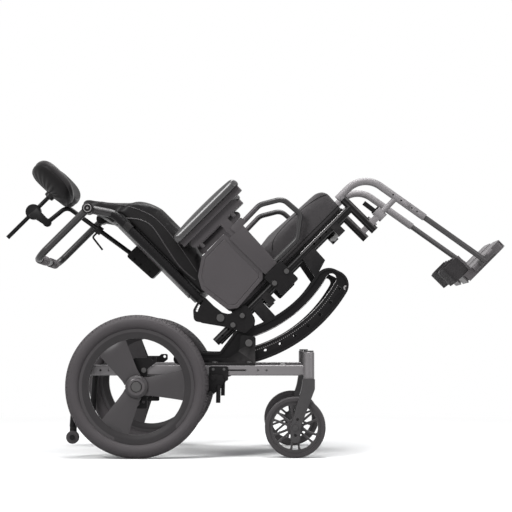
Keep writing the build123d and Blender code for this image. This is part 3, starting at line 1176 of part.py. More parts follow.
with BuildPart() as hanger:
    with BuildLine(seat_plane(-SEAT_RAIL_Y)) as hanger_run:
        FilletPolyline((POST_U - 12, HANGER_V), (leg_line(HANGER_V), HANGER_V), HANGER_END,
                       radius=HANGER_BEND_R)
    tube_along(hanger_run, HANGER_R)
    rod(plan_of_seat(HANGER_V - HANGER_PIN_L), (POST_U, -SEAT_RAIL_Y), HANGER_PIN_R, HANGER_PIN_L)
    rod(across_seat(LATCH_U), (-SEAT_RAIL_Y, BRACE_V), BRACE_R, leg_line(BRACE_V) - LATCH_U)
    rod(plan_of_seat(BRACE_V - LATCH_T / 2), (LATCH_U, -SEAT_RAIL_Y), LATCH_R, LATCH_T)
    with BuildSketch(plan_of_seat(BRACE_V - LATCH_T / 2 + 6)):
        with Locations((LATCH_U, -SEAT_RAIL_Y)):
            Rectangle(LATCH_U - POST_U, 20, align=(Align.MAX, Align.CENTER))
        with Locations((POST_U, -SEAT_RAIL_Y)):
            Circle(POST_R + RUN_GAP, mode=Mode.SUBTRACT)
    extrude(amount=LATCH_T - 12)
    with BuildLine(seat_plane(-SEAT_RAIL_Y), mode=Mode.PRIVATE) as bore_line:
        Line(HANGER_END, LEG_TUBE_TOP)
    with BuildSketch(Plane(origin=bore_line.line @ 0, z_dir=bore_line.line % 0)):
        Circle(LEG_TUBE_R + SLIDE_FIT)
    extrude(amount=bore_line.line.edge().length + LEG_TUBE_RISE, mode=Mode.SUBTRACT)
    for hole_v in LEG_HOLE_VS:
        rod(seat_plane(-SEAT_RAIL_Y), (leg_line(hole_v), hole_v), LEG_HOLE_R, HANGER_R + 1, Mode.SUBTRACT)
    rod(seat_plane(-SEAT_RAIL_Y - LEG_TUBE_R - 1), (leg_line(LEG_KNOB_V), LEG_KNOB_V), 7, 8)
write_both(hanger.part, "hanger")

with BuildPart() as latch_lever:
    lever_foot = BRACE_V + LATCH_T / 2 + RUN_GAP
    rod(plan_of_seat(lever_foot), (LATCH_U, -SEAT_RAIL_Y), LATCH_R - 1, 5)
    with BuildLine(seat_plane(-SEAT_RAIL_Y)) as lever_run:
        Line((LATCH_U - 4, lever_foot + 4), (LATCH_U - 9, lever_foot + 42))
    with BuildSketch(Plane(origin=lever_run.line @ 0, z_dir=lever_run.line % 0)):
        RectangleRounded(14, 7, 2)
    sweep(path=lever_run.line)
write_both(latch_lever.part, "latch_lever")

FOOT_AXIS_Y = SEAT_RAIL_Y - LEG_TUBE_R - FOOT_KNUCKLE_R - 1
FOOT_U = leg_line(FOOT_AXIS_V)

with BuildPart() as leg_tube:
    with BuildLine(seat_plane(-SEAT_RAIL_Y)) as leg_run:
        Line(LEG_TUBE_TOP, (leg_line(FOOT_AXIS_V - 8), FOOT_AXIS_V - 8))
    tube_along(leg_run, LEG_TUBE_R)
    with BuildSketch(across_seat(FOOT_U - FOOT_BARREL_HALF)):
        with Locations((-FOOT_AXIS_Y, FOOT_AXIS_V)):
            Circle(FOOT_KNUCKLE_R)
        with Locations((-(FOOT_AXIS_Y + SEAT_RAIL_Y) / 2, FOOT_AXIS_V)):
            Rectangle(SEAT_RAIL_Y - FOOT_AXIS_Y, 14)
        with Locations((-FOOT_AXIS_Y, FOOT_AXIS_V)):
            Circle(FOOT_PIN_R + PIN_FIT, mode=Mode.SUBTRACT)
    extrude(amount=2 * FOOT_BARREL_HALF)
write_both(leg_tube.part, "leg_tube")

with BuildPart() as footplate:
    deck_v = FOOT_AXIS_V + DECK_TOP
    deck_mid = ((DECK_U[0] + DECK_U[1]) / 2, -(DECK_Y[0] + DECK_Y[1]) / 2)
    deck_l = DECK_U[1] - DECK_U[0]
    deck_w = DECK_Y[0] - DECK_Y[1]
    with BuildSketch(plan_of_seat(deck_v - DECK_H)):
        with Locations(deck_mid):
            RectangleRounded(deck_l, deck_w, 16)
    extrude(amount=DECK_H)
    with BuildSketch(plan_of_seat(deck_v - DECK_H)):
        with Locations(deck_mid):
            with GridLocations(deck_l / 3, deck_w / 2, 3, 2):
                RectangleRounded(deck_l / 3 - 6, deck_w / 2 - 6, 4)
    extrude(amount=DECK_H - DECK_T, mode=Mode.SUBTRACT)
    with BuildSketch(plan_of_seat(deck_v - DECK_T)):
        with Locations(deck_mid):
            with GridLocations(deck_l / 3, deck_w / 2, 3, 2):
                SlotOverall(34, 9)
    extrude(amount=DECK_T, mode=Mode.SUBTRACT)
    for knuckle_u in (FOOT_U - FOOT_BARREL_HALF - RUN_GAP - FOOT_KNUCKLE_L,
                      FOOT_U + FOOT_BARREL_HALF + RUN_GAP):
        with BuildSketch(across_seat(knuckle_u)):
            with Locations((-FOOT_AXIS_Y, FOOT_AXIS_V)):
                Circle(FOOT_KNUCKLE_R)
            with Locations((-(FOOT_AXIS_Y + DECK_Y[0] - 4) / 2, FOOT_AXIS_V - 2)):
                Rectangle(FOOT_AXIS_Y - DECK_Y[0] + 4, 14)
        extrude(amount=FOOT_KNUCKLE_L)
    rod(across_seat(FOOT_U - FOOT_BARREL_HALF - 4), (-FOOT_AXIS_Y, FOOT_AXIS_V), FOOT_PIN_R,
        2 * FOOT_BARREL_HALF + 8)
    for post_y in (DECK_Y[0] - 8, DECK_Y[1] + 8):
        rod(plan_of_seat(deck_v - 2), (STRAP_POST_U, -post_y), STRAP_POST_R, STRAP_H)
write_both(footplate.part, "footplate")

with BuildPart() as heel_loop:
    strap_front = STRAP_POST_U - STRAP_POST_R - RUN_GAP - STRAP_T / 2
    with BuildSketch(plan_of_seat(deck_v + RUN_GAP)):
        with BuildLine() as strap_line:
            FilletPolyline((strap_front, -DECK_Y[0] + 8), (STRAP_REAR + 18, -DECK_Y[0] + 8),
                           (STRAP_REAR, -(DECK_Y[0] + DECK_Y[1]) / 2), (STRAP_REAR + 18, -DECK_Y[1] - 8),
                           (strap_front, -DECK_Y[1] - 8), radius=(14, 60, 14))
            offset(amount=STRAP_T / 2, side=Side.BOTH)
        make_face()
    extrude(amount=STRAP_H)
write_both(heel_loop.part, "heel_loop")

# ============================================================ fasteners

with BuildPart() as base_fasteners:
    axle_out = HUB_OUT + RUN_GAP
    rod(base_plane(-BASE_RAIL_OUT + 60), (0, REAR_WHEEL_R), AXLE_R, axle_out - BASE_RAIL_OUT + 60)
    rod(base_plane(-axle_out), (0, REAR_WHEEL_R), AXLE_HEAD_R, AXLE_HEAD_T)
    for place in (ROLLER_XZ, REAR_ROLLER_XZ):
        pin_in = ROCKER_Y - ROLLER_W / 2 - RUN_GAP
        rod(base_plane(-pin_in), place, ROLLER_PIN_R, BRACKET_Y + BRACKET_T - pin_in)
        rod(base_plane(-pin_in + 3), place, ROLLER_PIN_R + 3, 3)
        rod(base_plane(-BRACKET_Y - BRACKET_T), place, BOLT_HEAD_R + 3, BOLT_HEAD_T)
    for place in ((18, RAIL_Z), (-18, RAIL_Z)):
        rod(base_plane(-BASE_RAIL_OUT), place, BOLT_R, PLATE_T)
        rod(base_plane(-BASE_RAIL_OUT - PLATE_T), place, BOLT_HEAD_R, 3)
    for place in ((px, RAIL_Z + 3), (px + 32, RAIL_Z + 3)):
        rod(base_plane(-BASE_RAIL_OUT), place, BOLT_R, LOCK_PLATE_T)
    for foot_x in (fx - 100, fx):
        place = (REAR_AXLE_X + foot_x, -RAIL_Y)
        rod(Plane.XY.offset(BASE_RAIL_TOP), place, BOLT_R, BRACKET_FOOT_T)
        rod(Plane.XY.offset(BASE_RAIL_TOP + BRACKET_FOOT_T), place, BOLT_HEAD_R, BOLT_HEAD_T)
    mirror(about=Plane.XZ)
write(base_fasteners.part, "base_fasteners")

with BuildPart() as seat_fasteners:
    rod(seat_plane(-SEAT_RAIL_Y + SEAT_TUBE_R), (RECLINE_U, RECLINE_V), RECLINE_PIN_R,
        2 * SEAT_TUBE_R + HINGE_T)
    rod(seat_plane(-SEAT_RAIL_OUT - HINGE_T), (RECLINE_U, RECLINE_V), BOLT_HEAD_R + 4, BOLT_HEAD_T)
    for place in ((-157, SEAT_RAIL_V), (-196, SEAT_RAIL_V)):
        rod(seat_plane(-SEAT_RAIL_OUT), place, BOLT_R, HINGE_T)
        rod(seat_plane(-SEAT_RAIL_OUT - HINGE_T), place, BOLT_HEAD_R, BOLT_HEAD_T)
    for place in ((RECEIVER_US[0] + 10, SEAT_RAIL_V), (RECEIVER_US[1] - 10, SEAT_RAIL_V)):
        rod(seat_plane(-SEAT_RAIL_OUT), place, BOLT_R, RECEIVER_T)
        rod(seat_plane(-SEAT_RAIL_OUT - RECEIVER_T), place, BOLT_HEAD_R, BOLT_HEAD_T - 1)
    mirror(about=Plane.XZ)
write(seat_fasteners.part, "seat_fasteners")
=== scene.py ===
"""Tilt in space wheelchair, dressed for the studio.

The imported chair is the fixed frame. Its rigid pieces get softened edges and their finishes. Its rear tyres,
cushions and pads are modelled afresh in the place of the plain solids, and seams, rings and trims are added.
Lengths are in metres, and angles in radians unless a name or comment says degrees.
"""

import json
from math import acos, asin, atan2, cos, degrees, exp, pi, radians, sin, sqrt, tau

import bmesh
import bpy
from bpy.props import FloatProperty, FloatVectorProperty, IntProperty, PointerProperty
from mathutils import Matrix, Vector


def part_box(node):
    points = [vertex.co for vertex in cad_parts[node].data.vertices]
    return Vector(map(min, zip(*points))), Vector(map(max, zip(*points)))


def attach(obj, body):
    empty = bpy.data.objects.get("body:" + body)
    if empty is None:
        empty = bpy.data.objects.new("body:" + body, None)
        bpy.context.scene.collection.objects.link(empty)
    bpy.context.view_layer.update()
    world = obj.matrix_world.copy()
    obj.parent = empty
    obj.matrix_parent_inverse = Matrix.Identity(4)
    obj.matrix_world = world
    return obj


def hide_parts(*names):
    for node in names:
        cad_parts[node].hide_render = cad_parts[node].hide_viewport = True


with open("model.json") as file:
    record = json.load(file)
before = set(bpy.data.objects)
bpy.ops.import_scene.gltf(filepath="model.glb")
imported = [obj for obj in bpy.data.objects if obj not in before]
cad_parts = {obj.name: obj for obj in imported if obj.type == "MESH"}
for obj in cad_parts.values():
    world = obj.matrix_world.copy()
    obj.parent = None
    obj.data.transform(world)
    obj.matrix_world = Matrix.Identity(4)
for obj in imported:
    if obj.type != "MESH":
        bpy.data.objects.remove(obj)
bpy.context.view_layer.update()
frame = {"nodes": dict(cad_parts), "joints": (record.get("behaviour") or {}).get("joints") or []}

bl_info = {
    "name": "Tilt in space wheelchair",
    "version": (1, 0, 0),
    "blender": (4, 5, 0),
    "location": "3D View > Sidebar > Wheelchair",
    "description": "Dresses the wheelchair's frame with finishes, tyres, cushions and a studio",
    "category": "Object",
}

SIDES = {"right": -1, "left": 1}
JOINTS = {joint["name"]: joint for joint in frame["joints"]}  # ---------------- places in the chair

TILT_CENTRE = Vector(JOINTS["tilt"]["pos_m"])
SEAT_LEAN = radians(45)
ALONG_SEAT = Vector((cos(SEAT_LEAN), 0, sin(SEAT_LEAN)))
UP_FROM_SEAT = Vector((-sin(SEAT_LEAN), 0, cos(SEAT_LEAN)))
ACROSS = Vector((0, 1, 0))
UPWARD = Vector((0, 0, 1))


def seat_point(u, v, y=0.0):
    """A place given along the seat (u), square to it (v) and across the chair (y)."""
    return TILT_CENTRE + ALONG_SEAT * u + UP_FROM_SEAT * v + ACROSS * y


def seat_place(point):
    """The u, v and y of a place."""
    from_centre = point - TILT_CENTRE
    return from_centre.dot(ALONG_SEAT), from_centre.dot(UP_FROM_SEAT), point.y


def off_axis(place, centre):
    """Distance of a place from the line that runs across the chair through a centre."""
    return sqrt((place.x - centre.x) ** 2 + (place.z - centre.z) ** 2)


def middle(node):
    """Middle of a node's box."""
    low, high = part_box(node)
    return (low + high) / 2


# ---------------- sizes and colours a user may change


def length(name, description, default, least, most):
    """A length that a user may change."""
    return FloatProperty(name=name, description=description, default=default, min=least, max=most,
                         unit="LENGTH", precision=4)


def tint(name, description, *default):
    """A colour that a user may change."""
    return FloatVectorProperty(name=name, description=description, default=default, min=0, max=1,
                               subtype="COLOR")


class ChairSizes(bpy.types.PropertyGroup):
    """Sizes of the edges, tread, piping and covers"""
    edge_round: length("Edge round", "Radius on the corners of metal and moulded pieces", 0.0006, 0, 0.005)
    tread_blocks: IntProperty(
        name="Tread blocks", description="Blocks round each rear tyre", default=168, min=24, max=300)
    tread_depth: length("Tread depth", "Depth of the cuts in the rear tyre", 0.0009, 0, 0.005)
    piping_radius: length("Piping", "Radius of the welt sewn into the cushion covers", 0.0026, 0.001, 0.01)
    cushion_puff: length("Cushion fullness", "How far the seat and back covers may swell", 0.007, 0, 0.03)


class ChairColours(bpy.types.PropertyGroup):
    """Colours that the finishes start from"""
    frame_paint: tint("Frame paint", "Metallic grey of the base rails and legrests", 0.078, 0.074, 0.076)
    black_paint: tint("Black paint", "Satin black of the rockers, brackets and back", 0.0085, 0.008, 0.0085)
    rubber: tint("Rubber", "Tyres", 0.066, 0.060, 0.063)
    plastic: tint("Plastic", "Wheel spokes, casters and footplates", 0.046, 0.042, 0.044)
    guard: tint("Side guards", "Moulded clothing guards", 0.060, 0.054, 0.057)
    cover: tint("Covers", "Black stretch fabric", 0.013, 0.012, 0.0125)
    zinc: tint("Bolts", "Plated steel", 0.34, 0.33, 0.33)


def sizes():
    return bpy.context.scene.chair_sizes


def colours():
    return bpy.context.scene.chair_colours


# ---------------- shader effects shared by the finishes


def filled(node, **values):
    """Set a node's inputs. An underscore in a name stands for a space."""
    for socket, value in values.items():
        node.inputs[socket.replace("_", " ")].default_value = value
    return node


def new_node(tree, kind, **values):
    """A shader node with some of its inputs set."""
    return filled(tree.nodes.new("ShaderNode" + kind), **values)


def joined(tree, value, socket):
    """Give an input a link from another socket, or a plain value."""
    if isinstance(value, bpy.types.NodeSocket):
        tree.links.new(value, socket)
    else:
        socket.default_value = value


def effect(name, inputs, outputs):
    """An empty node group with float sockets, its input node and its output node."""
    group = bpy.data.node_groups.new(name, "ShaderNodeTree")
    for socket, default in inputs.items():
        item = group.interface.new_socket(socket, in_out="INPUT", socket_type="NodeSocketFloat")
        item.default_value = default
    for socket in outputs:
        group.interface.new_socket(socket, in_out="OUTPUT", socket_type="NodeSocketFloat")
    return group, group.nodes.new("NodeGroupInput"), group.nodes.new("NodeGroupOutput")


def maths(group, operation, *values, clamp=False):
    """A maths node over sockets or numbers."""
    node = new_node(group, "Math")
    node.operation = operation
    node.use_clamp = clamp
    for value, socket in zip(values, node.inputs):
        joined(group, value, socket)
    return node.outputs[0]


def times(group, *values, clamp=False):
    """The product of two sockets or numbers."""
    return maths(group, "MULTIPLY", *values, clamp=clamp)


def speckle(group, scale, detail):
    """Noise read on the object's own coordinates."""
    noise = new_node(group, "TexNoise", Detail=detail)
    group.links.new(new_node(group, "TexCoord").outputs["Object"], noise.inputs["Vector"])
    joined(group, scale, noise.inputs["Scale"])
    return noise.outputs["Fac"]


RIDGE_POINTINESS = 0.53  # pointiness from which an edge counts as a ridge
RIDGE_GAIN = 14.0
DUST_TONE = (0.35, 0.34, 0.33, 1)


def grain_effect():
    """Fine pebble of a moulded or powder-coated skin."""
    group, start, end = effect("Grain", {"Scale": 900.0, "Depth": 1.0}, ["Height", "Patches"])
    fine = speckle(group, start.outputs["Scale"], 3.0)
    group.links.new(times(group, fine, start.outputs["Depth"]), end.inputs["Height"])
    group.links.new(speckle(group, 14.0, 3.0), end.inputs["Patches"])
    return group


def wear_effect():
    """Where hands and knocks have rubbed a convex edge."""
    group, start, end = effect("Edge wear", {"Amount": 0.5}, ["Mask"])
    geometry = new_node(group, "NewGeometry")
    ridge = maths(group, "SUBTRACT", geometry.outputs["Pointiness"], RIDGE_POINTINESS)
    ridge = times(group, ridge, RIDGE_GAIN)
    rubbed = times(group, ridge, speckle(group, 60.0, 4.0))
    group.links.new(times(group, rubbed, start.outputs["Amount"], clamp=True), end.inputs["Mask"])
    return group


def weave_effect():
    """Crossed threads on the seat's own directions."""
    group, start, end = effect("Weave", {"Threads": 900.0, "Depth": 1.0}, ["Height", "Shade"])
    place = new_node(group, "TexCoord").outputs["Object"]
    turned = new_node(group, "Mapping", Rotation=(0, SEAT_LEAN, 0))
    group.links.new(place, turned.inputs["Vector"])
    axes = new_node(group, "SeparateXYZ")
    group.links.new(turned.outputs["Vector"], axes.inputs["Vector"])
    waves = [maths(group, "SINE", times(group, axis, start.outputs["Threads"]))
             for axis in axes.outputs[:3]]
    cells = [times(group, waves[a], waves[b]) for a, b in ((0, 1), (1, 2), (0, 2))]
    threads = maths(group, "ADD", maths(group, "ADD", cells[0], cells[1]), cells[2])
    threads = maths(group, "ADD", times(group, threads, 0.25), 0.5)
    group.links.new(times(group, threads, start.outputs["Depth"]), end.inputs["Height"])
    uneven = speckle(group, 38.0, 4.0)
    shade = maths(group, "ADD", times(group, threads, 0.5), times(group, uneven, 0.5))
    group.links.new(shade, end.inputs["Shade"])
    return group


def dust_effect():
    """Thin pale dust that settles on faces that look up."""
    group, start, end = effect("Dust", {"Amount": 0.2}, ["Mask"])
    geometry = new_node(group, "NewGeometry")
    axes = new_node(group, "SeparateXYZ")
    group.links.new(geometry.outputs["Normal"], axes.inputs["Vector"])
    upward = maths(group, "MAXIMUM", axes.outputs["Z"], 0.0)
    settled = times(group, upward, speckle(group, 25.0, 5.0))
    group.links.new(times(group, settled, start.outputs["Amount"]), end.inputs["Mask"])
    return group


EFFECTS = {}


def build_effects():
    """Make each shared effect once."""
    EFFECTS.update(grain=grain_effect(), wear=wear_effect(), weave=weave_effect(), dust=dust_effect())


# ---------------- finishes


def shaded(colour, factor):
    """A colour made lighter or darker, with full alpha."""
    return tuple(min(1.0, part * factor) for part in colour[:3]) + (1.0,)


def mixed(tree, mask, low, high):
    """A colour between two, by a mask."""
    blend = new_node(tree, "Mix")
    blend.data_type = "RGBA"
    tree.links.new(mask, blend.inputs["Factor"])
    for name, value in (("A", low), ("B", high)):
        joined(tree, value, next(s for s in blend.inputs if s.name == name and s.type == "RGBA"))
    return next(s for s in blend.outputs if s.type == "RGBA")


def ranged(tree, value, low, high):
    """A value from 0 to 1 stretched to a range."""
    node = new_node(tree, "MapRange", To_Min=low, To_Max=high)
    tree.links.new(value, node.inputs["Value"])
    return node.outputs["Result"]


def placed(tree, key, **values):
    """One of the shared effects, with its own values."""
    node = new_node(tree, "Group")
    node.node_tree = EFFECTS[key]
    return filled(node, **values)


def finish(name, colour, roughness, grain=900, depth=0.4, bump=0.00015, wear=0, worn=(0.3, 0.3, 0.3),
           dust=0, metallic=0, contrast=0.12, threads=0, sheen=0, level=0.5):
    """A named material: base colour with broad patches, grain or weave, edge wear and dust."""
    material = bpy.data.materials.new(name)
    material.use_nodes = True
    tree = material.node_tree
    skin = filled(tree.nodes["Principled BSDF"], Metallic=metallic, Sheen_Weight=sheen, Sheen_Roughness=0.45,
                  Specular_IOR_Level=level)
    if threads:
        pattern = placed(tree, "weave", Threads=threads, Depth=depth)
        spread = pattern.outputs["Shade"]
    else:
        pattern = placed(tree, "grain", Scale=grain, Depth=depth)
        spread = pattern.outputs["Patches"]
    tone = mixed(tree, spread, shaded(colour, 1 - contrast), shaded(colour, 1 + contrast))
    if wear:
        rubbed = placed(tree, "wear", Amount=wear)
        tone = mixed(tree, rubbed.outputs["Mask"], tone, shaded(worn, 1))
    if dust:
        settled = placed(tree, "dust", Amount=dust)
        tone = mixed(tree, settled.outputs["Mask"], tone, DUST_TONE)
    tree.links.new(tone, skin.inputs["Base Color"])
    tree.links.new(ranged(tree, spread, roughness - 0.06, roughness + 0.08), skin.inputs["Roughness"])
    relief = new_node(tree, "Bump", Distance=bump, Strength=0.6)
    tree.links.new(pattern.outputs["Height"], relief.inputs["Height"])
    tree.links.new(relief.outputs["Normal"], skin.inputs["Normal"])
    return material


LOOKS = {}


def build_finishes():
    """Make every finish from the colours."""
    c = colours()

    def look(key, name, colour, strength, roughness, **values):
        LOOKS[key] = finish(name, shaded(colour, strength), roughness, **values)

    look("frame_paint", "metallic grey powder coat", c.frame_paint, 2.3, 0.36, grain=1400, bump=4e-5,
         metallic=0.4, contrast=0.06)
    # bare metal of bolts and rings, also used for the painted highlight lines along the rockers' slots
    look("bare_metal_and_highlight", "bare metal and painted highlight", c.zinc, 0.7, 0.3, bump=2e-5, metallic=0.7, contrast=0.15)
    look("silver_paint", "silver grey powder coat", c.frame_paint, 2.8, 0.5, bump=2e-6, metallic=0.1,
         contrast=0.04, level=0.25)
    look("leg_paint", "graphite tube", c.frame_paint, 0.75, 0.36, bump=2e-6, metallic=0.2, contrast=0.07,
         level=0.3)
    look("fork_paint", "charcoal powder coat", c.frame_paint, 0.62, 0.42, grain=1400, bump=5e-5, wear=0.3,
         worn=(0.16, 0.155, 0.155), metallic=0.25, contrast=0.08, level=0.3)
    look("black_paint", "satin black powder coat", c.black_paint, 1, 0.36, grain=1500, bump=4e-5, wear=0.35,
         worn=(0.10, 0.095, 0.095), contrast=0.15, level=0.1)
    look("loop_paint", "grey satin tube", c.frame_paint, 0.36, 0.34, bump=2e-6, metallic=0.2, contrast=0.08,
         level=0.4)
    look("arm_paint", "grey textured arm", c.guard, 0.95, 0.46, grain=1400, bump=6e-5, contrast=0.08,
         level=0.3)
    look("rubber", "tyre rubber", c.rubber, 1, 0.6, grain=1100, depth=0.6, bump=2e-4, dust=0.03, level=0.2)
    look("caster_rubber", "caster tyre rubber", c.rubber, 0.75, 0.5, grain=1100, bump=1.5e-4, contrast=0.1,
         dust=0.02, level=0.25)
    # the wheel's own plastic made darker: painted shade in the dished rim
    look("shaded_rim_plastic", "rim nylon darkened as painted shade", c.plastic, 0.6, 0.4, grain=1700, depth=0.7, bump=8e-5,
         contrast=0.1, level=0.22)
    look("plastic", "moulded black nylon", c.plastic, 1, 0.4, grain=1700, depth=0.7, bump=1e-4,
         contrast=0.1, dust=0.02, level=0.3)
    look("smooth_plastic", "smooth black plastic", c.plastic, 0.25, 0.28, grain=700, bump=4e-5,
         contrast=0.08, level=0.25)
    look("plate_plastic", "footplate nylon", c.plastic, 1.9, 0.42, grain=1100, bump=1e-4, dust=0.04,
         level=0.35)
    look("guard", "grained guard plastic", c.guard, 1, 0.46, grain=1300, depth=0.9, bump=1e-4,
         contrast=0.08, dust=0.02, level=0.3)
    look("seat_cover", "heathered stretch cover", c.cover, 3.4, 0.8, threads=2400, depth=1, bump=3e-4,
         contrast=0.5, sheen=0.1, level=0.2)
    look("back_cover", "smooth black cover", c.cover, 0.55, 0.4, threads=3000, depth=0.6, bump=8e-5,
         contrast=0.25, level=0.14)
    look("pad_cover", "soft headrest cover", c.cover, 0.75, 0.5, threads=2600, depth=0.8, bump=1e-4,
         contrast=0.25, level=0.12)
    look("pad_band", "knitted headrest band", c.cover, 1.9, 0.45, threads=2600, depth=0.8, bump=1e-4,
         contrast=0.25, sheen=0.06, level=0.2)
    look("welt", "seam welt", c.cover, 0.35, 0.5, threads=3600, depth=0.6, bump=1e-4, contrast=0.2,
         level=0.15)
    # the cords are real, and their tone, far lighter than the back cover, is painted highlight along them
    look("piping", "corded piping", c.cover, 3, 0.4, threads=3600, depth=0.6, bump=5e-5, contrast=0.2,
         level=0.35)
    look("webbing", "mottled webbing", c.cover, 2.6, 0.72, threads=1500, depth=1, bump=4e-4, contrast=0.6,
         sheen=0.06, level=0.2)
    look("vinyl", "moulded pad skin", c.cover, 1.4, 0.3, grain=800, depth=0.9, bump=6e-5, level=0.8)
    look("foam", "closed cell foam", c.cover, 11, 0.7, grain=700, depth=1, bump=8e-5, contrast=0.08,
         level=0.15)
    look("zinc", "zinc plated steel", c.zinc, 1, 0.3, bump=2e-5, metallic=1, contrast=0.1)
    look("hub_ring", "polished hub cap", c.plastic, 1.7, 0.22, bump=1e-5, metallic=0.4, contrast=0.06)
    look("black_bolt", "black oxide steel", c.zinc, 0.24, 0.32, bump=2e-5, metallic=0.8, contrast=0.1)


# ---------------- making pieces

WELD = 1e-5  # corners nearer than this are one
FLAT = radians(0.08)  # faces that meet at less than this become one
CORNER = radians(38)  # edges sharper than this are rounded
SEAM_STEPS = 12  # points between two places of a seam's route
SEAM_ROUNDS = 40  # how often a route's corners are evened out
CUSHION_SIDE = 0.15  # a seam is laid only farther out than this
PRESSURE = 4
CLOTH_FRAMES = 20


def linked(name, data):
    """A new object in the scene."""
    holder = bpy.data.objects.new(name, data)
    bpy.context.scene.collection.objects.link(holder)
    return holder


def made(bm, name, look, body, stands_for=(), smooth=35):
    """A finished mesh as a piece of the chair, riding on its body."""
    mesh = bpy.data.meshes.new(name)
    bm.to_mesh(mesh)
    bm.free()
    mesh.materials.append(LOOKS[look])
    mesh.shade_smooth()
    mesh.set_sharp_from_angle(angle=radians(smooth))
    piece = linked(name, mesh)
    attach(piece, body)
    if stands_for:
        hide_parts(*stands_for)
    return piece


def merged(node):
    """A welded copy of a node's mesh, with flat stretches as single faces."""
    bm = bmesh.new()
    bm.from_mesh(frame["nodes"][node].data)
    bmesh.ops.remove_doubles(bm, verts=bm.verts, dist=WELD)
    bmesh.ops.dissolve_limit(bm, angle_limit=FLAT, verts=bm.verts, edges=bm.edges)
    return bm


def softened(node, look, body=None, edge=None, tubes=False):
    """A rigid node with its corners rounded off and its own finish. Round tubes keep their own shading.

    It rides on the body of its own name where none is given.
    """
    bm = merged(node)
    width = sizes().edge_round if edge is None else edge
    sharp = [e for e in bm.edges if e.is_manifold and e.calc_face_angle(0) > CORNER]
    if width and sharp:
        bmesh.ops.bevel(bm, geom=sharp, offset=width, offset_type="OFFSET", segments=2, profile=0.5,
                        affect="EDGES", clamp_overlap=True, material=-1)
    piece = made(bm, f"{node}_finished", look, body or node, [node])
    if not tubes:
        piece.modifiers.new("even shading", "WEIGHTED_NORMAL").keep_sharp = True
    return piece


def second_look(piece, look, chosen):
    """Give a piece's chosen faces another finish. chosen reads a face's middle."""
    piece.data.materials.append(LOOKS[look])
    slot_number = len(piece.data.materials) - 1
    for face in piece.data.polygons:
        if chosen(face.center):
            face.material_index = slot_number


def full_turn(bm, outline, centre, steps, axis=ACROSS, arm=UPWARD, closed=True):
    """Spin an outline of (radius, along) points about an axis through a centre.

    At the start the radius runs along the arm.
    """
    verts = [bm.verts.new(centre + arm * radius + axis * along) for radius, along in outline]
    ends = verts[1:] + verts[:1] if closed else verts[1:]
    edges = [bm.edges.new(pair) for pair in zip(verts, ends)]
    bmesh.ops.spin(bm, geom=verts + edges, cent=centre, axis=axis, angle=tau, steps=steps,
                   use_merge=True, use_duplicate=False)
    bmesh.ops.recalc_face_normals(bm, faces=bm.faces)


def turned(name, outline, centre, steps, look, body, slot, smooth=30, **way):
    """A piece spun from its outline, as in full_turn."""
    bm = bmesh.new()
    full_turn(bm, outline, centre, steps, **way)
    made(bm, name, look, body, smooth=smooth)


def ring(name, centre, out, inner, outer, look, body, slot, height=0.0006):
    """A low turned ring or bolt head that faces out of the chair's side."""
    edge = min(height, (outer - inner) / 4)
    turned(name, [(inner, 0.0), (inner, height * out), (outer - edge, height * out),
                  (outer, (height - edge) * out), (outer, 0.0)], centre, 32, look, body, slot)


def applied(piece):
    """Turn a piece's modifiers into its mesh."""
    graph = bpy.context.evaluated_depsgraph_get()
    mesh = bpy.data.meshes.new_from_object(piece.evaluated_get(graph))
    plain = piece.data
    piece.modifiers.clear()
    piece.data = mesh
    bpy.data.meshes.remove(plain)


def cut_loop(piece, place, facing):
    """The longest closed line where a plane cuts a piece."""
    bm = bmesh.new()
    bm.from_mesh(piece.data)
    cut = bmesh.ops.bisect_plane(bm, geom=bm.verts[:] + bm.edges[:] + bm.faces[:], plane_co=place,
                                 plane_no=facing, clear_inner=True)
    left = {e for e in cut["geom_cut"] if isinstance(e, bmesh.types.BMEdge)}
    best = []
    while left:
        chain = list(left.pop().verts)
        while onward := next((e for e in chain[-1].link_edges if e in left), None):
            left.discard(onward)
            chain.append(onward.other_vert(chain[-1]))
        if len(chain) > len(best):
            best = chain
    points = [v.co.copy() for v in best[:-1]]
    bm.free()
    return points


def evened(points, rounds=6, closed=False):
    """A line's points, each drawn towards its neighbours."""
    for _ in range(rounds):
        moved = [(points[i - 1] + points[i] * 2 + points[(i + 1) % len(points)]) / 4
                 for i in range(len(points))]
        if not closed:
            moved[0], moved[-1] = points[0], points[-1]
        points = moved
    return points


def welt(name, points, radius, look, body, closed=False):
    """A round welt or wire along a line."""
    line = bpy.data.curves.new(name, "CURVE")
    line.dimensions = "3D"
    line.bevel_depth = radius
    line.bevel_resolution = 3
    line.use_fill_caps = True
    run = line.splines.new("POLY")
    run.points.add(len(points) - 1)
    for point, place in zip(run.points, points):
        point.co = (*place, 1)
    run.use_cyclic_u = closed
    holder = linked(name, line)
    mesh = bpy.data.meshes.new_from_object(holder.evaluated_get(bpy.context.evaluated_depsgraph_get()))
    bpy.data.objects.remove(holder)
    bm = bmesh.new()
    bm.from_mesh(mesh)
    made(bm, name, look, body, smooth=60)


def seam(name, cushion, route, out, thickness, look, body):
    """A cord sewn along a route of (u, v) places on a cushion's side."""
    radius = sizes().piping_radius * thickness
    line = []
    for (u, v), (next_u, next_v) in zip(route, route[1:]):
        for step in range(SEAM_STEPS):
            share = step / SEAM_STEPS
            line.append(Vector((u + (next_u - u) * share, v + (next_v - v) * share, 0)))
    line.append(Vector((*route[-1], 0)))
    line = evened(line, SEAM_ROUNDS)
    laid = []
    for u, v, _ in line:
        hit, place, _, _ = cushion.ray_cast(seat_point(u, v, out * 0.5), ACROSS * -out)
        if hit and abs(place.y) > CUSHION_SIDE:
            laid.append(place + ACROSS * (out * radius * 0.25))
    welt(name, evened(laid, 4), radius, look, body)


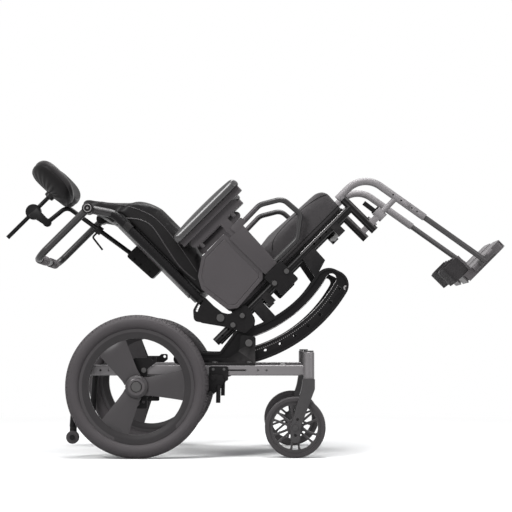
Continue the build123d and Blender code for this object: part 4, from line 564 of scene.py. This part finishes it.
def blown_up(piece, cap, free):
    """Fill a cover with air in a short cloth run. free gives from 0 to 1 how far a point may move."""
    start = [v.co.copy() for v in piece.data.vertices]
    cloth = piece.modifiers.new("fill", "CLOTH")
    cloth.settings.use_pressure = True
    cloth.settings.uniform_pressure_force = PRESSURE
    cloth.settings.effector_weights.gravity = 0
    cloth.point_cache.frame_end = CLOTH_FRAMES
    for number in range(1, CLOTH_FRAMES + 1):
        bpy.context.scene.frame_set(number)
    graph = bpy.context.evaluated_depsgraph_get()
    blown = [v.co.copy() for v in piece.evaluated_get(graph).data.vertices]
    piece.modifiers.remove(cloth)
    bpy.context.scene.frame_set(1)
    for vertex, rest, reached in zip(piece.data.vertices, start, blown):
        shift = reached - rest
        if shift.length > cap:
            shift.length = cap
        vertex.co = rest + shift * free(rest)


def stuffed(node, look, body, voxel, cap=0, free=None, smoothing=4):
    """A cushion or pad in place of its plain solid: remeshed, smoothed and, with a cap, blown up."""
    piece = made(merged(node), f"{node}_cover", look, body, [node], smooth=180)
    remesh = piece.modifiers.new("even mesh", "REMESH")
    remesh.mode = "VOXEL"
    remesh.voxel_size = voxel
    soft = piece.modifiers.new("soft corners", "SMOOTH")
    soft.factor = 0.5
    soft.iterations = smoothing
    applied(piece)
    if cap:
        blown_up(piece, cap, free)
    finer = piece.modifiers.new("finer", "SUBSURF")
    finer.levels = finer.render_levels = 1
    applied(piece)
    piece.data.shade_smooth()
    return piece


def eased(value, low, high):
    """0 below low, 1 above high, smooth between."""
    share = min(1.0, max(0.0, (value - low) / (high - low)))
    return share * share * (3 - 2 * share)


# ---------------- sizes of the chair's own pieces

SPOKES = 3
SPOKE_LEAN = radians(2)  # how far the first spoke stands above the level
SPOKE_ROOT = 0.028
SPOKE_TIP = 0.1375
SPOKE_HALF_HUB = 0.027
SPOKE_HALF_RIM = 0.047
SPOKE_SWELL = 0.004  # how far a spoke's sides bulge between hub and rim
SPOKE_THICK = 0.012
SPOKE_CROWN = 0.0045  # height of the crown on a spoke's outer face
CROWN_TO_SIDES = 2.2  # powers with which the crown falls off
CROWN_TO_ENDS = 8
CROWN_WIDTH = 0.97  # share of the spoke's width
SPOKE_LIFT = 5e-5  # the crown's foot lies this far off the spoke
SPOKE_CELLS = 16
# from this radius out the wheel's dished rim is darkened as painted shade
SHADED_RIM_FROM = 0.131
HUB_CAP_R = 0.0165
HUB_RING = ((0.0165, -0.001), (0.0165, 0.0012), (0.0178, 0.0018), (0.0222, 0.0018), (0.0232, 0.001),
            (0.0245, 0.0008), (0.0245, -0.001))

# The tyre's outline: degrees up from its side, where 90 is the middle of the tread
TYRE_ANGLES = (-8, 6, 12, 18, 27, 36, 48, 60, 72, 84)
DOT_ANGLES = (12, 18)
SHOULDER_ANGLE = 36
TREAD_ANGLE = 48
TREAD_ROWS = (60, 72, 84)
TREAD_WALL, DOT_WALL = 0.0003, 0.0004  # how far the cuts narrow towards their floors

SLOT_MIDDLE = 0.404  # middle line of a rocker's slot, from the tilt centre
SLOT_HALF = 0.014
SLOT_HIGHLIGHT = 0.0012  # middle of the painted highlight line, from the slot
SLOT_HIGHLIGHT_R = 0.0008
SLOT_STEPS = 60
ARC_FIT = 0.0004  # corners this near the slot's edge belong to it
DIMPLE_PITCH = 0.0062
DIMPLE_LINE = 0.012  # dimples, from the slot
DIMPLE_R = 0.0014
DIMPLE_LIFT = 0.0002  # dimples, off the rocker's face
NOSE_U, NOSE_V = 0.119, -0.439

TUBE_R = 0.0127  # canes and seat rails
TUBE_ACROSS = 0.19
KNUCKLE = 0.0175  # radius of the round ends at the push handle's pivots
CANE_LINE = -0.211  # u of the straight part of the canes
CANE_GREY_FROM = 0.21  # v above which the canes' bent tubes are grey
COLLAR_V = 0.148
COLLAR_WALL = 0.0012
COLLAR_HALF = 0.012
COLLAR_EDGE = 0.001

RAIL_LINE = -0.28  # v of the seat rails
# span along the seat of the thin zinc wire on each seat rail's upper edge, a painted highlight
RAIL_HIGHLIGHT_FROM, RAIL_HIGHLIGHT_TO = 0.095, 0.285
RAIL_HIGHLIGHT_STEPS = 20
RAIL_HIGHLIGHT_R = 0.0011

# Routes of the seams, as (u, v) places
TOP_SEAM = ((0.045, -0.205), (0.062, -0.186), (0.1, -0.178), (0.19, -0.179), (0.255, -0.19), (0.281, -0.205))
FRONT_SEAM = ((-0.215, 0.262), (-0.192, 0.231), (-0.158, 0.18), (-0.137, 0.13), (-0.133, 0.095),
              (-0.137, 0.033), (-0.15, -0.043), (-0.16, -0.092))
SIDE_PIPING = ((-0.196, 0.172), (-0.169, 0.14), (-0.158, 0.108), (-0.16, 0.085), (-0.175, 0.016),
               (-0.188, -0.048), (-0.181, -0.105))
SEAT_HELD, SEAT_FREE = 0.01, 0.05  # heights over the cushion's foot where its cover is held and is free
FOOT_SEAM = 0.012
BACK_HELD, BACK_FREE = -0.185, -0.13  # u where the back's cover is held and is free

# The headrest pad's half section, front to back: share of its outline, and depth behind its front
PAD_SECTION = ((0, 0), (0.25, 0), (0.5, -0.0004), (0.7, -0.0014), (0.84, -0.004), (0.92, -0.0075),
               (0.97, -0.0125), (0.995, -0.0185), (1, -0.0235), (0.99, -0.0265), (0.972, -0.0275),
               (0.982, -0.029), (0.985, -0.034), (0.97, -0.04), (0.93, -0.0455), (0.86, -0.05),
               (0.74, -0.0535), (0.56, -0.0555), (0.34, -0.0565), (0.14, -0.057), (0, -0.057))
PAD_HALF_W, PAD_HALF_H = 0.131, 0.08
PAD_RISE = 0.011  # middle of the pad above its ball
PAD_FRONT = 0.061  # front of the pad ahead of its ball
PAD_DEEP = 0.057
PAD_CORNER = 3.4  # power of its rounded outline, 2 being an ellipse
PAD_STEPS = 144
WING_LEAN, HEIGHT_LEAN = 0.034, 0.004  # how far its ends come forward and its top goes back
PLEATS = 22
PLEAT_DEPTH = 0.0011
PLEATS_FROM = 12  # the section's last point without pleats
PLEAT_START, PLEAT_END = (0.14, 0.5), (0.02, 0.2)  # where they grow, from the middle and from the edge
PLEAT_WANDER, WANDERS = 0.6, 5
BAND_DEPTH = 0.0275
BAND_FROM = 0.66  # how near the outline the band begins
NOTCH_HALF = 0.022  # half width of the notch that lets the bar pass
NOTCH_HIGH, NOTCH_DEEP = 0.013, 0.017
NOTCH_RISE = (0.25, 0.8)  # shares of the half height over which it grows
GUARD_LAP = 0.02  # the loop's grey starts this far behind the guard's front
SOCKET = ((0.0116, 0.004), (0.0116, -0.005), (0.0128, -0.0065), (0.0155, -0.005), (0.016, 0),
          (0.016, 0.009), (0.026, 0.0105), (0.027, 0.0125), (0.026, 0.0145))


# ---------------- operators, one for each group of pieces


class CHAIR_OT_base_frame(bpy.types.Operator):
    """Base rails, cross tubes, plates, brackets and anti-tip arms"""
    bl_idname = "chair.base_frame"
    bl_label = "Base frame"

    def execute(self, context):
        for side in SIDES:
            softened(f"base_rail_{side}", "frame_paint", "base")
        softened("cross_tubes", "frame_paint", "base")
        for node in ("axle_plates", "roller_brackets", "wheel_lock_mounts", "anti_tip_arms"):
            softened(node, "black_paint", "base")
        softened("base_fasteners", "black_bolt", "base", edge=0.0004)
        return {"FINISHED"}


class CHAIR_OT_rear_wheels(bpy.types.Operator):
    """Rear tyres with cut tread, and the three-spoke wheels"""
    bl_idname = "chair.rear_wheels"
    bl_label = "Rear wheels"

    def execute(self, context):
        for side in SIDES:
            body = f"rear_wheel_{side}"
            self.wheel(side, body)
            self.tyre(side, body)
            self.hub_ring(side, body)
        return {"FINISHED"}

    @staticmethod
    def wheel(side, body):
        """Three-spoke wheel with crowned spokes and a dished rim darkened as painted shade."""
        centre = middle(f"rear_tyre_{side}")
        piece = softened(f"rear_wheel_{side}", "plastic", body, edge=0.0015)
        second_look(piece, "shaded_rim_plastic", lambda place: off_axis(place, centre) > SHADED_RIM_FROM)
        second_look(piece, "smooth_plastic", lambda place: off_axis(place, centre) < HUB_CAP_R)
        bm = bmesh.new()
        for spoke in range(SPOKES):
            turn = Matrix.Rotation(-SPOKE_LEAN - spoke * tau / SPOKES, 3, "Y")
            grid = bmesh.ops.create_grid(bm, x_segments=SPOKE_CELLS, y_segments=SPOKE_CELLS, size=1)
            for vertex in grid["verts"]:
                lengthwise, sideways, _ = vertex.co
                along = (lengthwise + 1) / 2
                far = SPOKE_ROOT + (SPOKE_TIP - SPOKE_ROOT) * along
                half = (SPOKE_HALF_HUB + SPOKE_SWELL * sin(pi * along)
                        + (SPOKE_HALF_RIM - SPOKE_HALF_HUB) * along ** 2)
                rise = SPOKE_CROWN * (1 - abs(sideways) ** CROWN_TO_SIDES) * (1 - lengthwise ** CROWN_TO_ENDS)
                height = SPOKE_THICK / 2 + rise + SPOKE_LIFT
                vertex.co = centre + turn @ Vector((far, SIDES[side] * height, half * sideways * CROWN_WIDTH))
        bmesh.ops.recalc_face_normals(bm, faces=bm.faces)
        made(bm, f"spoke_crowns_{side}", "plastic", body, smooth=60)

    @staticmethod
    def tyre(side, body):
        """A round tyre with staggered tread blocks and a ribbed line on its sidewall."""
        centre = middle(f"rear_tyre_{side}")
        low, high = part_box(f"rear_tyre_{side}")
        half = (high.y - low.y) / 2
        hoop = (high.z - low.z) / 2 - half
        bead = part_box(f"rear_wheel_{side}")[1].z - middle(f"rear_wheel_{side}").z
        foot = degrees(asin((bead - hoop) / half))
        angles = [foot, foot / 2, *TYRE_ANGLES]
        angles += [180 - angle for angle in reversed(angles)]
        steps = 2 * sizes().tread_blocks
        bm = bmesh.new()
        full_turn(bm, [(hoop + half * sin(radians(angle)), half * cos(radians(angle))) for angle in angles],
                  centre, steps)
        sunk, dotted = [], []
        for face in bm.faces:
            spot = face.calc_center_median() - centre
            lean = degrees(atan2(off_axis(spot, Vector()) - hoop, abs(spot.y)))
            column = int((atan2(spot.z, spot.x) / tau) % 1.0 * steps)
            if lean > TREAD_ANGLE:
                row = sum(lean > angle for angle in TREAD_ROWS)
                if (column + 2 * row) % 4 == 0 or row == 1 and column % 2 == 0:
                    sunk.append(face)
            elif lean > SHOULDER_ANGLE and column % 3 == 0:
                sunk.append(face)
            elif DOT_ANGLES[0] < lean < DOT_ANGLES[1] and column % 2 == 0:
                dotted.append(face)
        depth = sizes().tread_depth
        bmesh.ops.inset_individual(bm, faces=sunk, thickness=TREAD_WALL, depth=-depth)
        bmesh.ops.inset_individual(bm, faces=dotted, thickness=DOT_WALL, depth=-depth / 2)
        made(bm, f"rear_tyre_{side}_tread", "rubber", body, [f"rear_tyre_{side}"], smooth=50)

    @staticmethod
    def hub_ring(side, body):
        """Polished stepped ring on the hub's outer face."""
        centre = middle(f"rear_tyre_{side}")
        centre.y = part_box(f"rear_wheel_{side}")[0 if side == "right" else 1].y
        outline = [(radius, height * SIDES[side]) for radius, height in HUB_RING]
        turned(f"hub_ring_{side}", outline, centre, 64, "hub_ring", body, "wheel_plastic")


class CHAIR_OT_casters(bpy.types.Operator):
    """Front casters: forks, spoked wheels and tyres"""
    bl_idname = "chair.casters"
    bl_label = "Casters"

    def execute(self, context):
        for side in SIDES:
            softened(f"caster_fork_{side}", "fork_paint", edge=0.0012)
            softened(f"caster_wheel_{side}", "plastic", edge=0.0005)
            softened(f"caster_tyre_{side}", "caster_rubber", f"caster_wheel_{side}", 0)
            softened(f"anti_tip_wheel_{side}", "caster_rubber", edge=0.001)
        return {"FINISHED"}


class CHAIR_OT_wheel_locks(bpy.types.Operator):
    """Wheel lock levers"""
    bl_idname = "chair.wheel_locks"
    bl_label = "Wheel locks"

    def execute(self, context):
        for side in SIDES:
            softened(f"wheel_lock_lever_{side}", "black_paint")
        return {"FINISHED"}


class CHAIR_OT_rockers(bpy.types.Operator):
    """Curved slotted rockers and their rollers"""
    bl_idname = "chair.rockers"
    bl_label = "Rockers"

    def execute(self, context):
        for side in SIDES:
            softened(f"rocker_{side}", "black_paint", "seat")
            self.edges(side)
        softened("front_rollers", "smooth_plastic")
        softened("rear_rollers", "smooth_plastic")
        return {"FINISHED"}

    @staticmethod
    def edges(side):
        """Bright metal lines along the slot, painted as the highlights on its edges, a row of dimples beside
        it and the bolt at the nose.
        """
        out = SIDES[side]
        inner, outer = SLOT_MIDDLE - SLOT_HALF, SLOT_MIDDLE + SLOT_HALF
        metal = [v.co for v in frame["nodes"][f"rocker_{side}"].data.vertices]
        rim = [place for place in metal if abs(off_axis(place, TILT_CENTRE) - inner) < ARC_FIT]
        face = out * max(place.y * out for place in rim)
        turns = [atan2(place.z - TILT_CENTRE.z, place.x - TILT_CENTRE.x) for place in rim]
        first, last = min(turns), max(turns)

        def on_arc(radius, turn, lift=0.0):
            return TILT_CENTRE + Vector((radius * cos(turn), face + out * lift, radius * sin(turn)))

        # bright lines just beside the slot's edges stand in for their highlights: painted highlight
        for name, radius in (("low", outer + SLOT_HIGHLIGHT), ("high", inner - SLOT_HIGHLIGHT)):
            line = [on_arc(radius, first + (last - first) * k / SLOT_STEPS) for k in range(SLOT_STEPS + 1)]
            welt(f"slot_highlight_{name}_{side}", line, SLOT_HIGHLIGHT_R, "bare_metal_and_highlight", "seat")
        bm = bmesh.new()
        count = int((last - first) * outer / DIMPLE_PITCH)
        for k in range(2, count - 1):
            spot = on_arc(outer + DIMPLE_LINE, first + (last - first) * k / count, DIMPLE_LIFT)
            bmesh.ops.create_circle(bm, cap_ends=True, radius=DIMPLE_R, segments=10,
                                    matrix=Matrix.Translation(spot) @ Matrix.Rotation(pi / 2, 4, "X"))
        made(bm, f"rocker_dimples_{side}", "bare_metal_and_highlight", "seat")
        nose = seat_point(NOSE_U, NOSE_V, face)
        ring(f"nose_washer_{side}", nose, out, 0.0035, 0.0075, "zinc", "seat", "bolt_steel", 0.0012)
        ring(f"nose_bolt_{side}", nose, out, 0.0005, 0.0032, "black_bolt", "seat", "bolt_steel", 0.0018)


class CHAIR_OT_seat_frame(bpy.types.Operator):
    """Seat rails, pan, hinge plates and armrest receivers, and a zinc line painted as a highlight along each
    rail
    """
    bl_idname = "chair.seat_frame"
    bl_label = "Seat frame"

    def execute(self, context):
        for node in ("seat_rails", "seat_cross_members", "seat_pan", "hinge_plates", "arm_receivers"):
            softened(node, "black_paint", "seat")
        softened("seat_fasteners", "black_bolt", "seat", edge=0.0004)
        # a thin zinc wire on each seat rail's upper edge stands in for the rail's highlight: painted
        # highlight
        for side, out in SIDES.items():
            lift = TUBE_R * sin(pi / 4)
            line = [seat_point(RAIL_HIGHLIGHT_FROM + (RAIL_HIGHLIGHT_TO - RAIL_HIGHLIGHT_FROM) * k / RAIL_HIGHLIGHT_STEPS, RAIL_LINE + lift,
                               out * (TUBE_ACROSS + lift)) for k in range(RAIL_HIGHLIGHT_STEPS + 1)]
            welt(f"rail_highlight_{side}", line, RAIL_HIGHLIGHT_R, "zinc", "seat")
        return {"FINISHED"}


class CHAIR_OT_cushions(bpy.types.Operator):
    """Seat cushion and back cushion"""
    bl_idname = "chair.cushions"
    bl_label = "Cushions"

    def execute(self, context):
        self.seat()
        self.back()
        return {"FINISHED"}

    @staticmethod
    def seat():
        """Contoured seat cushion with a welt round its foot and one on each side."""
        low_v = min(seat_place(corner.co)[1] for corner in frame["nodes"]["seat_cushion"].data.vertices)

        def free(point):
            return 0.75 * eased(seat_place(point)[1], low_v + SEAT_HELD, low_v + SEAT_FREE)

        cushion = stuffed("seat_cushion", "seat_cover", "seat", voxel=0.006,
                          cap=sizes().cushion_puff * 0.5, free=free)
        line = evened(cut_loop(cushion, seat_point(0, low_v + FOOT_SEAM), UP_FROM_SEAT), closed=True)
        welt("seat_lower_seam", line, sizes().piping_radius * 0.5, "welt", "seat",
             closed=True)
        for side, out in SIDES.items():
            seam(f"seat_welt_{side}", cushion, TOP_SEAM, out, 0.5, "welt", "seat")

    @staticmethod
    def back():
        """Back cushion with piping round each side panel."""
        def free(point):
            u, v, _ = seat_place(point)
            return 0.8 * eased(u + 0.25 * max(0.0, v - 0.1), BACK_HELD, BACK_FREE)

        cushion = stuffed("back_cushion", "back_cover", "back", voxel=0.006,
                          cap=sizes().cushion_puff, free=free)
        # the piping cords are real; their lighter tone is a painted highlight along them
        for side, out in SIDES.items():
            seam(f"back_seam_{side}", cushion, FRONT_SEAM, out, 0.45, "piping", "back")
            seam(f"back_piping_{side}", cushion, SIDE_PIPING, out, 0.8, "piping", "back")


class CHAIR_OT_back(bpy.types.Operator):
    """Back canes, shell and the push handle"""
    bl_idname = "chair.back"
    bl_label = "Back and push handle"

    def execute(self, context):
        pivot = Vector(JOINTS["push_handle_pivot"]["pos_m"])
        canes = softened("back_canes", "black_paint", "back", tubes=True)
        second_look(canes, "loop_paint", lambda place: seat_place(place)[1] > CANE_GREY_FROM
                    and off_axis(place, pivot) > KNUCKLE)
        softened("back_shell", "plastic", "back")
        handle = softened("push_handle", "loop_paint", tubes=True)
        second_look(handle, "smooth_plastic", lambda place: off_axis(place, pivot) < KNUCKLE)
        softened("push_grips", "foam", "push_handle", edge=0.003)
        cap = max(abs(end.y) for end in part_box("back_canes"))
        for side, out in SIDES.items():
            centre = Vector((pivot.x, out * cap, pivot.z))
            ring(f"pivot_ring_{side}", centre, out, 0.0098, 0.0122, "bare_metal_and_highlight", "back", "black_metal")
            ring(f"pivot_bolt_{side}", centre, out, 0.0008, 0.0036, "bare_metal_and_highlight", "back", "bolt_steel")
            self.cane_collar(side, out)
        return {"FINISHED"}

    @staticmethod
    def cane_collar(side, out):
        """Collar where the bent upper tube of a cane enters the lower one."""
        wall = TUBE_R + COLLAR_WALL
        slope = COLLAR_HALF - COLLAR_EDGE
        outline = ((wall - COLLAR_EDGE, -COLLAR_HALF), (wall, -slope), (wall, slope),
                   (wall - COLLAR_EDGE, COLLAR_HALF))
        turned(f"cane_collar_{side}", outline, seat_point(CANE_LINE, COLLAR_V, out * TUBE_ACROSS), 40,
               "smooth_plastic", "back", "black_metal", 40, axis=UP_FROM_SEAT, arm=ALONG_SEAT, closed=False)


class CHAIR_OT_headrest(bpy.types.Operator):
    """Headrest bar, clamp and pad"""
    bl_idname = "chair.headrest"
    bl_label = "Headrest"

    def execute(self, context):
        softened("headrest_receiver", "black_paint", "back")
        softened("headrest_post", "black_paint", tubes=True)
        softened("headrest_arm", "black_paint", tubes=True)
        self.pad()
        return {"FINISHED"}

    @staticmethod
    def pad():
        """Curved pad: a smooth front and band, a seam, and a cover gathered behind it to the ball's socket.

        Its lower edge is notched in the middle, where the bar passes when the pad swings forward.
        """
        ball_u, ball_v, _ = seat_place(Vector(JOINTS["headrest_nod"]["pos_m"]))
        mid_v = ball_v + PAD_RISE
        front_u = ball_u + PAD_FRONT
        rows = len(PAD_SECTION) - 1

        def forward(y, v):
            return WING_LEAN * (y / PAD_HALF_W) ** 2 - HEIGHT_LEAN * (v / PAD_HALF_H) ** 2

        def on_band(place):
            u, v, y = seat_place(place)
            rounded = abs(y / PAD_HALF_W) ** PAD_CORNER + abs((v - mid_v) / PAD_HALF_H) ** PAD_CORNER
            return u > front_u + forward(y, v - mid_v) - BAND_DEPTH and rounded > BAND_FROM

        bm = bmesh.new()
        bmesh.ops.create_uvsphere(bm, u_segments=PAD_STEPS, v_segments=rows, radius=1)
        for vertex in bm.verts:
            row = round(acos(max(-1.0, min(1.0, vertex.co.z))) / pi * rows)
            share, depth = PAD_SECTION[row]
            turn = atan2(vertex.co.y, vertex.co.x)
            corner = (abs(cos(turn)) ** PAD_CORNER + abs(sin(turn)) ** PAD_CORNER) ** (-1 / PAD_CORNER)
            y = PAD_HALF_W * share * corner * cos(turn)
            v = PAD_HALF_H * share * corner * sin(turn)
            notch = exp(-(y / NOTCH_HALF) ** 2) * eased(-v / PAD_HALF_H, *NOTCH_RISE)
            u = front_u + depth + forward(y, v) - NOTCH_DEEP * notch * depth / PAD_DEEP
            if row > PLEATS_FROM:
                gathered = eased(share, *PLEAT_START) * eased(1.0 - share, *PLEAT_END)
                u += PLEAT_DEPTH * gathered * sin(PLEATS * turn + PLEAT_WANDER * sin(WANDERS * turn))
            vertex.co = seat_point(u, mid_v + v + NOTCH_HIGH * notch, y)
        bmesh.ops.recalc_face_normals(bm, faces=bm.faces)
        pad = made(bm, "headrest_pad_cover", "pad_cover", "headrest_pad", ["headrest_pad"],
                   smooth=80)
        second_look(pad, "pad_band", on_band)
        finer = pad.modifiers.new("finer", "SUBSURF")
        finer.levels = finer.render_levels = 1
        turned("headrest_socket", SOCKET, seat_point(ball_u, ball_v), 48, "smooth_plastic", "headrest_pad",
               "cover_fabric", 40, axis=ALONG_SEAT, arm=UP_FROM_SEAT, closed=False)


class CHAIR_OT_armrests(bpy.types.Operator):
    """Armrest posts, guards, rails and pads"""
    bl_idname = "chair.armrests"
    bl_label = "Armrests"

    def execute(self, context):
        for side in SIDES:
            post = softened(f"arm_post_{side}", "arm_paint", tubes=True)
            loop_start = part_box(f"side_guard_{side}")[1].x
            second_look(post, "loop_paint", lambda place: place.x > loop_start - GUARD_LAP)
            softened(f"side_guard_{side}", "guard", f"arm_post_{side}", edge=0.0015)
            softened(f"arm_upper_{side}", "arm_paint")
            stuffed(f"arm_pad_{side}", "vinyl", f"arm_upper_{side}", voxel=0.003,
                    smoothing=6)
        return {"FINISHED"}


class CHAIR_OT_legrests(bpy.types.Operator):
    """Hangers, legrest tubes, footplates and heel loops"""
    bl_idname = "chair.legrests"
    bl_label = "Legrests"

    def execute(self, context):
        for side in SIDES:
            softened(f"hanger_{side}", "silver_paint", tubes=True)
            softened(f"latch_lever_{side}", "black_paint")
            softened(f"leg_tube_{side}", "leg_paint", tubes=True)
            softened(f"footplate_{side}", "plate_plastic", edge=0.001)
            softened(f"heel_loop_{side}", "webbing", f"footplate_{side}", edge=0.0012)
        return {"FINISHED"}


# ---------------- the studio

CAMERA_PLACE = Vector((0.0276, -4.71, 0.348))
PHOTO_WIDTH = 512
FOCAL_PIXELS = 1519.7
EYE_LEVEL_PIXEL = (260.0, 338.0)  # where the camera's level line of sight meets the photograph
SENSOR = 36.0
FLOOR_RADIUS = 9.0
FADE_FROM, FADE_TO = 0.9, 2.4  # distances between which the paper turns plain white
SKY = 0.28  # strength of the light from all round
SKY_COLOUR = (0.95, 0.97, 1.0, 1)
PAPER_COLOUR = (0.96, 0.96, 0.96, 1)
CARD_COLOUR = (0.42, 0.42, 0.42, 1)
LAMPS = (  # place, aim, width and height, watts
    ("key softbox", (-1.9, -2.4, 2.6), (0, 0, 0.45), (1.4, 1.2), 95),
    ("fill softbox", (2.6, -2.4, 1.3), (0.1, 0, 0.5), (1.0, 1.6), 22),
    ("top softbox", (0.15, -0.1, 2.9), (0, -0.05, 0.4), (2.8, 1.0), 100),
)


def stage_lamp(name, place, aim, size, watts):
    """A large soft lamp that points at a place."""
    data = bpy.data.lights.new(name, "AREA")
    data.shape = "RECTANGLE"
    data.size, data.size_y = size
    data.energy = watts
    lamp = linked(name, data)
    lamp.location = place
    lamp.rotation_euler = (Vector(aim) - Vector(place)).to_track_quat("-Z", "Y").to_euler()


def between(tree, *sockets):
    """A shader between two, by a mask that comes first."""
    node = new_node(tree, "MixShader")
    for socket, target in zip(sockets, node.inputs):
        tree.links.new(socket, target)
    return node.outputs[0]


def white_to_lens(tree, lit, surface):
    """The surface for the lens, a gloss or glass, and the lit shader for everything else."""
    rays = new_node(tree, "LightPath")
    seen = maths(tree, "MAXIMUM", rays.outputs["Is Camera Ray"], rays.outputs["Is Glossy Ray"])
    seen = maths(tree, "MAXIMUM", seen, rays.outputs["Is Transmission Ray"])
    return between(tree, seen, lit, surface)


class CHAIR_OT_stage(bpy.types.Operator):
    """Pale floor, soft light and the camera"""
    bl_idname = "chair.stage"
    bl_label = "Studio"

    def execute(self, context):
        scene = bpy.context.scene
        scene.view_settings.view_transform = "Standard"

        camera = bpy.data.cameras.new("camera")
        camera.sensor_width = SENSOR
        camera.lens = SENSOR * FOCAL_PIXELS / PHOTO_WIDTH
        eye = linked("camera", camera)
        eye.location = CAMERA_PLACE
        half = PHOTO_WIDTH / 2
        aim = Vector(((half - EYE_LEVEL_PIXEL[0]) / FOCAL_PIXELS, 1,
                      (EYE_LEVEL_PIXEL[1] - half) / FOCAL_PIXELS))
        eye.rotation_euler = aim.to_track_quat("-Z", "Y").to_euler()
        scene.camera = eye

        bm = bmesh.new()
        bmesh.ops.create_circle(bm, cap_ends=True, radius=FLOOR_RADIUS, segments=64)
        mesh = bpy.data.meshes.new("floor")
        bm.to_mesh(mesh)
        bm.free()
        floor = linked("floor", mesh)
        mesh.materials.append(self.floor_finish())

        world = bpy.data.worlds.new("studio")
        scene.world = world
        world.use_nodes = True
        tree = world.node_tree
        tree.nodes.clear()
        end = new_node(tree, "OutputWorld")
        dome = new_node(tree, "Background", Color=SKY_COLOUR, Strength=SKY)
        backdrop = new_node(tree, "Background", Color=(1, 1, 1, 1), Strength=1)
        tree.links.new(white_to_lens(tree, dome.outputs[0], backdrop.outputs[0]), end.inputs["Surface"])

        for lamp in LAMPS:
            stage_lamp(*lamp)
        return {"FINISHED"}

    @staticmethod
    def floor_finish():
        """White paper to the lens, plain white far away, and a grey card to the chair."""
        material = bpy.data.materials.new("studio paper")
        material.use_nodes = True
        tree = material.node_tree
        paper = filled(tree.nodes["Principled BSDF"], Base_Color=PAPER_COLOUR, Roughness=0.9,
                       Specular_IOR_Level=0)
        card = new_node(tree, "BsdfDiffuse", Color=CARD_COLOUR)
        white = new_node(tree, "Emission", Strength=1)
        place = new_node(tree, "TexCoord").outputs["Object"]
        reach = new_node(tree, "VectorMath")
        reach.operation = "LENGTH"
        tree.links.new(place, reach.inputs[0])
        fade = new_node(tree, "MapRange", From_Min=FADE_FROM, From_Max=FADE_TO)
        fade.interpolation_type = "SMOOTHSTEP"
        tree.links.new(reach.outputs["Value"], fade.inputs["Value"])
        blend = between(tree, fade.outputs["Result"], paper.outputs[0], white.outputs[0])
        shown = white_to_lens(tree, card.outputs[0], blend)
        tree.links.new(shown, tree.nodes["Material Output"].inputs["Surface"])
        return material


# ---------------- the panel, and running it all

OPERATORS = (
    CHAIR_OT_base_frame, CHAIR_OT_rear_wheels, CHAIR_OT_casters, CHAIR_OT_wheel_locks, CHAIR_OT_rockers,
    CHAIR_OT_seat_frame, CHAIR_OT_cushions, CHAIR_OT_back, CHAIR_OT_headrest, CHAIR_OT_armrests,
    CHAIR_OT_legrests, CHAIR_OT_stage)


class CHAIR_PT_build(bpy.types.Panel):
    """Lists the pieces of the chair"""
    bl_idname = "CHAIR_PT_build"
    bl_label = "Wheelchair"
    bl_space_type = "VIEW_3D"
    bl_region_type = "UI"
    bl_category = "Wheelchair"

    def draw(self, context):
        for group in (context.scene.chair_sizes, context.scene.chair_colours):
            for name in group.__annotations__:
                self.layout.prop(group, name)
        for operator in OPERATORS:
            self.layout.operator(operator.bl_idname)


CLASSES = (ChairSizes, ChairColours, *OPERATORS, CHAIR_PT_build)


def register():
    for cls in CLASSES:
        bpy.utils.register_class(cls)
    bpy.types.Scene.chair_sizes = PointerProperty(type=ChairSizes)
    bpy.types.Scene.chair_colours = PointerProperty(type=ChairColours)


def unregister():
    del bpy.types.Scene.chair_colours
    del bpy.types.Scene.chair_sizes
    for cls in reversed(CLASSES):
        bpy.utils.unregister_class(cls)


def main():
    """Make each group of pieces in order."""
    register()
    build_effects()
    build_finishes()
    for operator in OPERATORS:
        getattr(bpy.ops.chair, operator.bl_idname.removeprefix("chair."))()


if __name__ == "__main__":
    main()
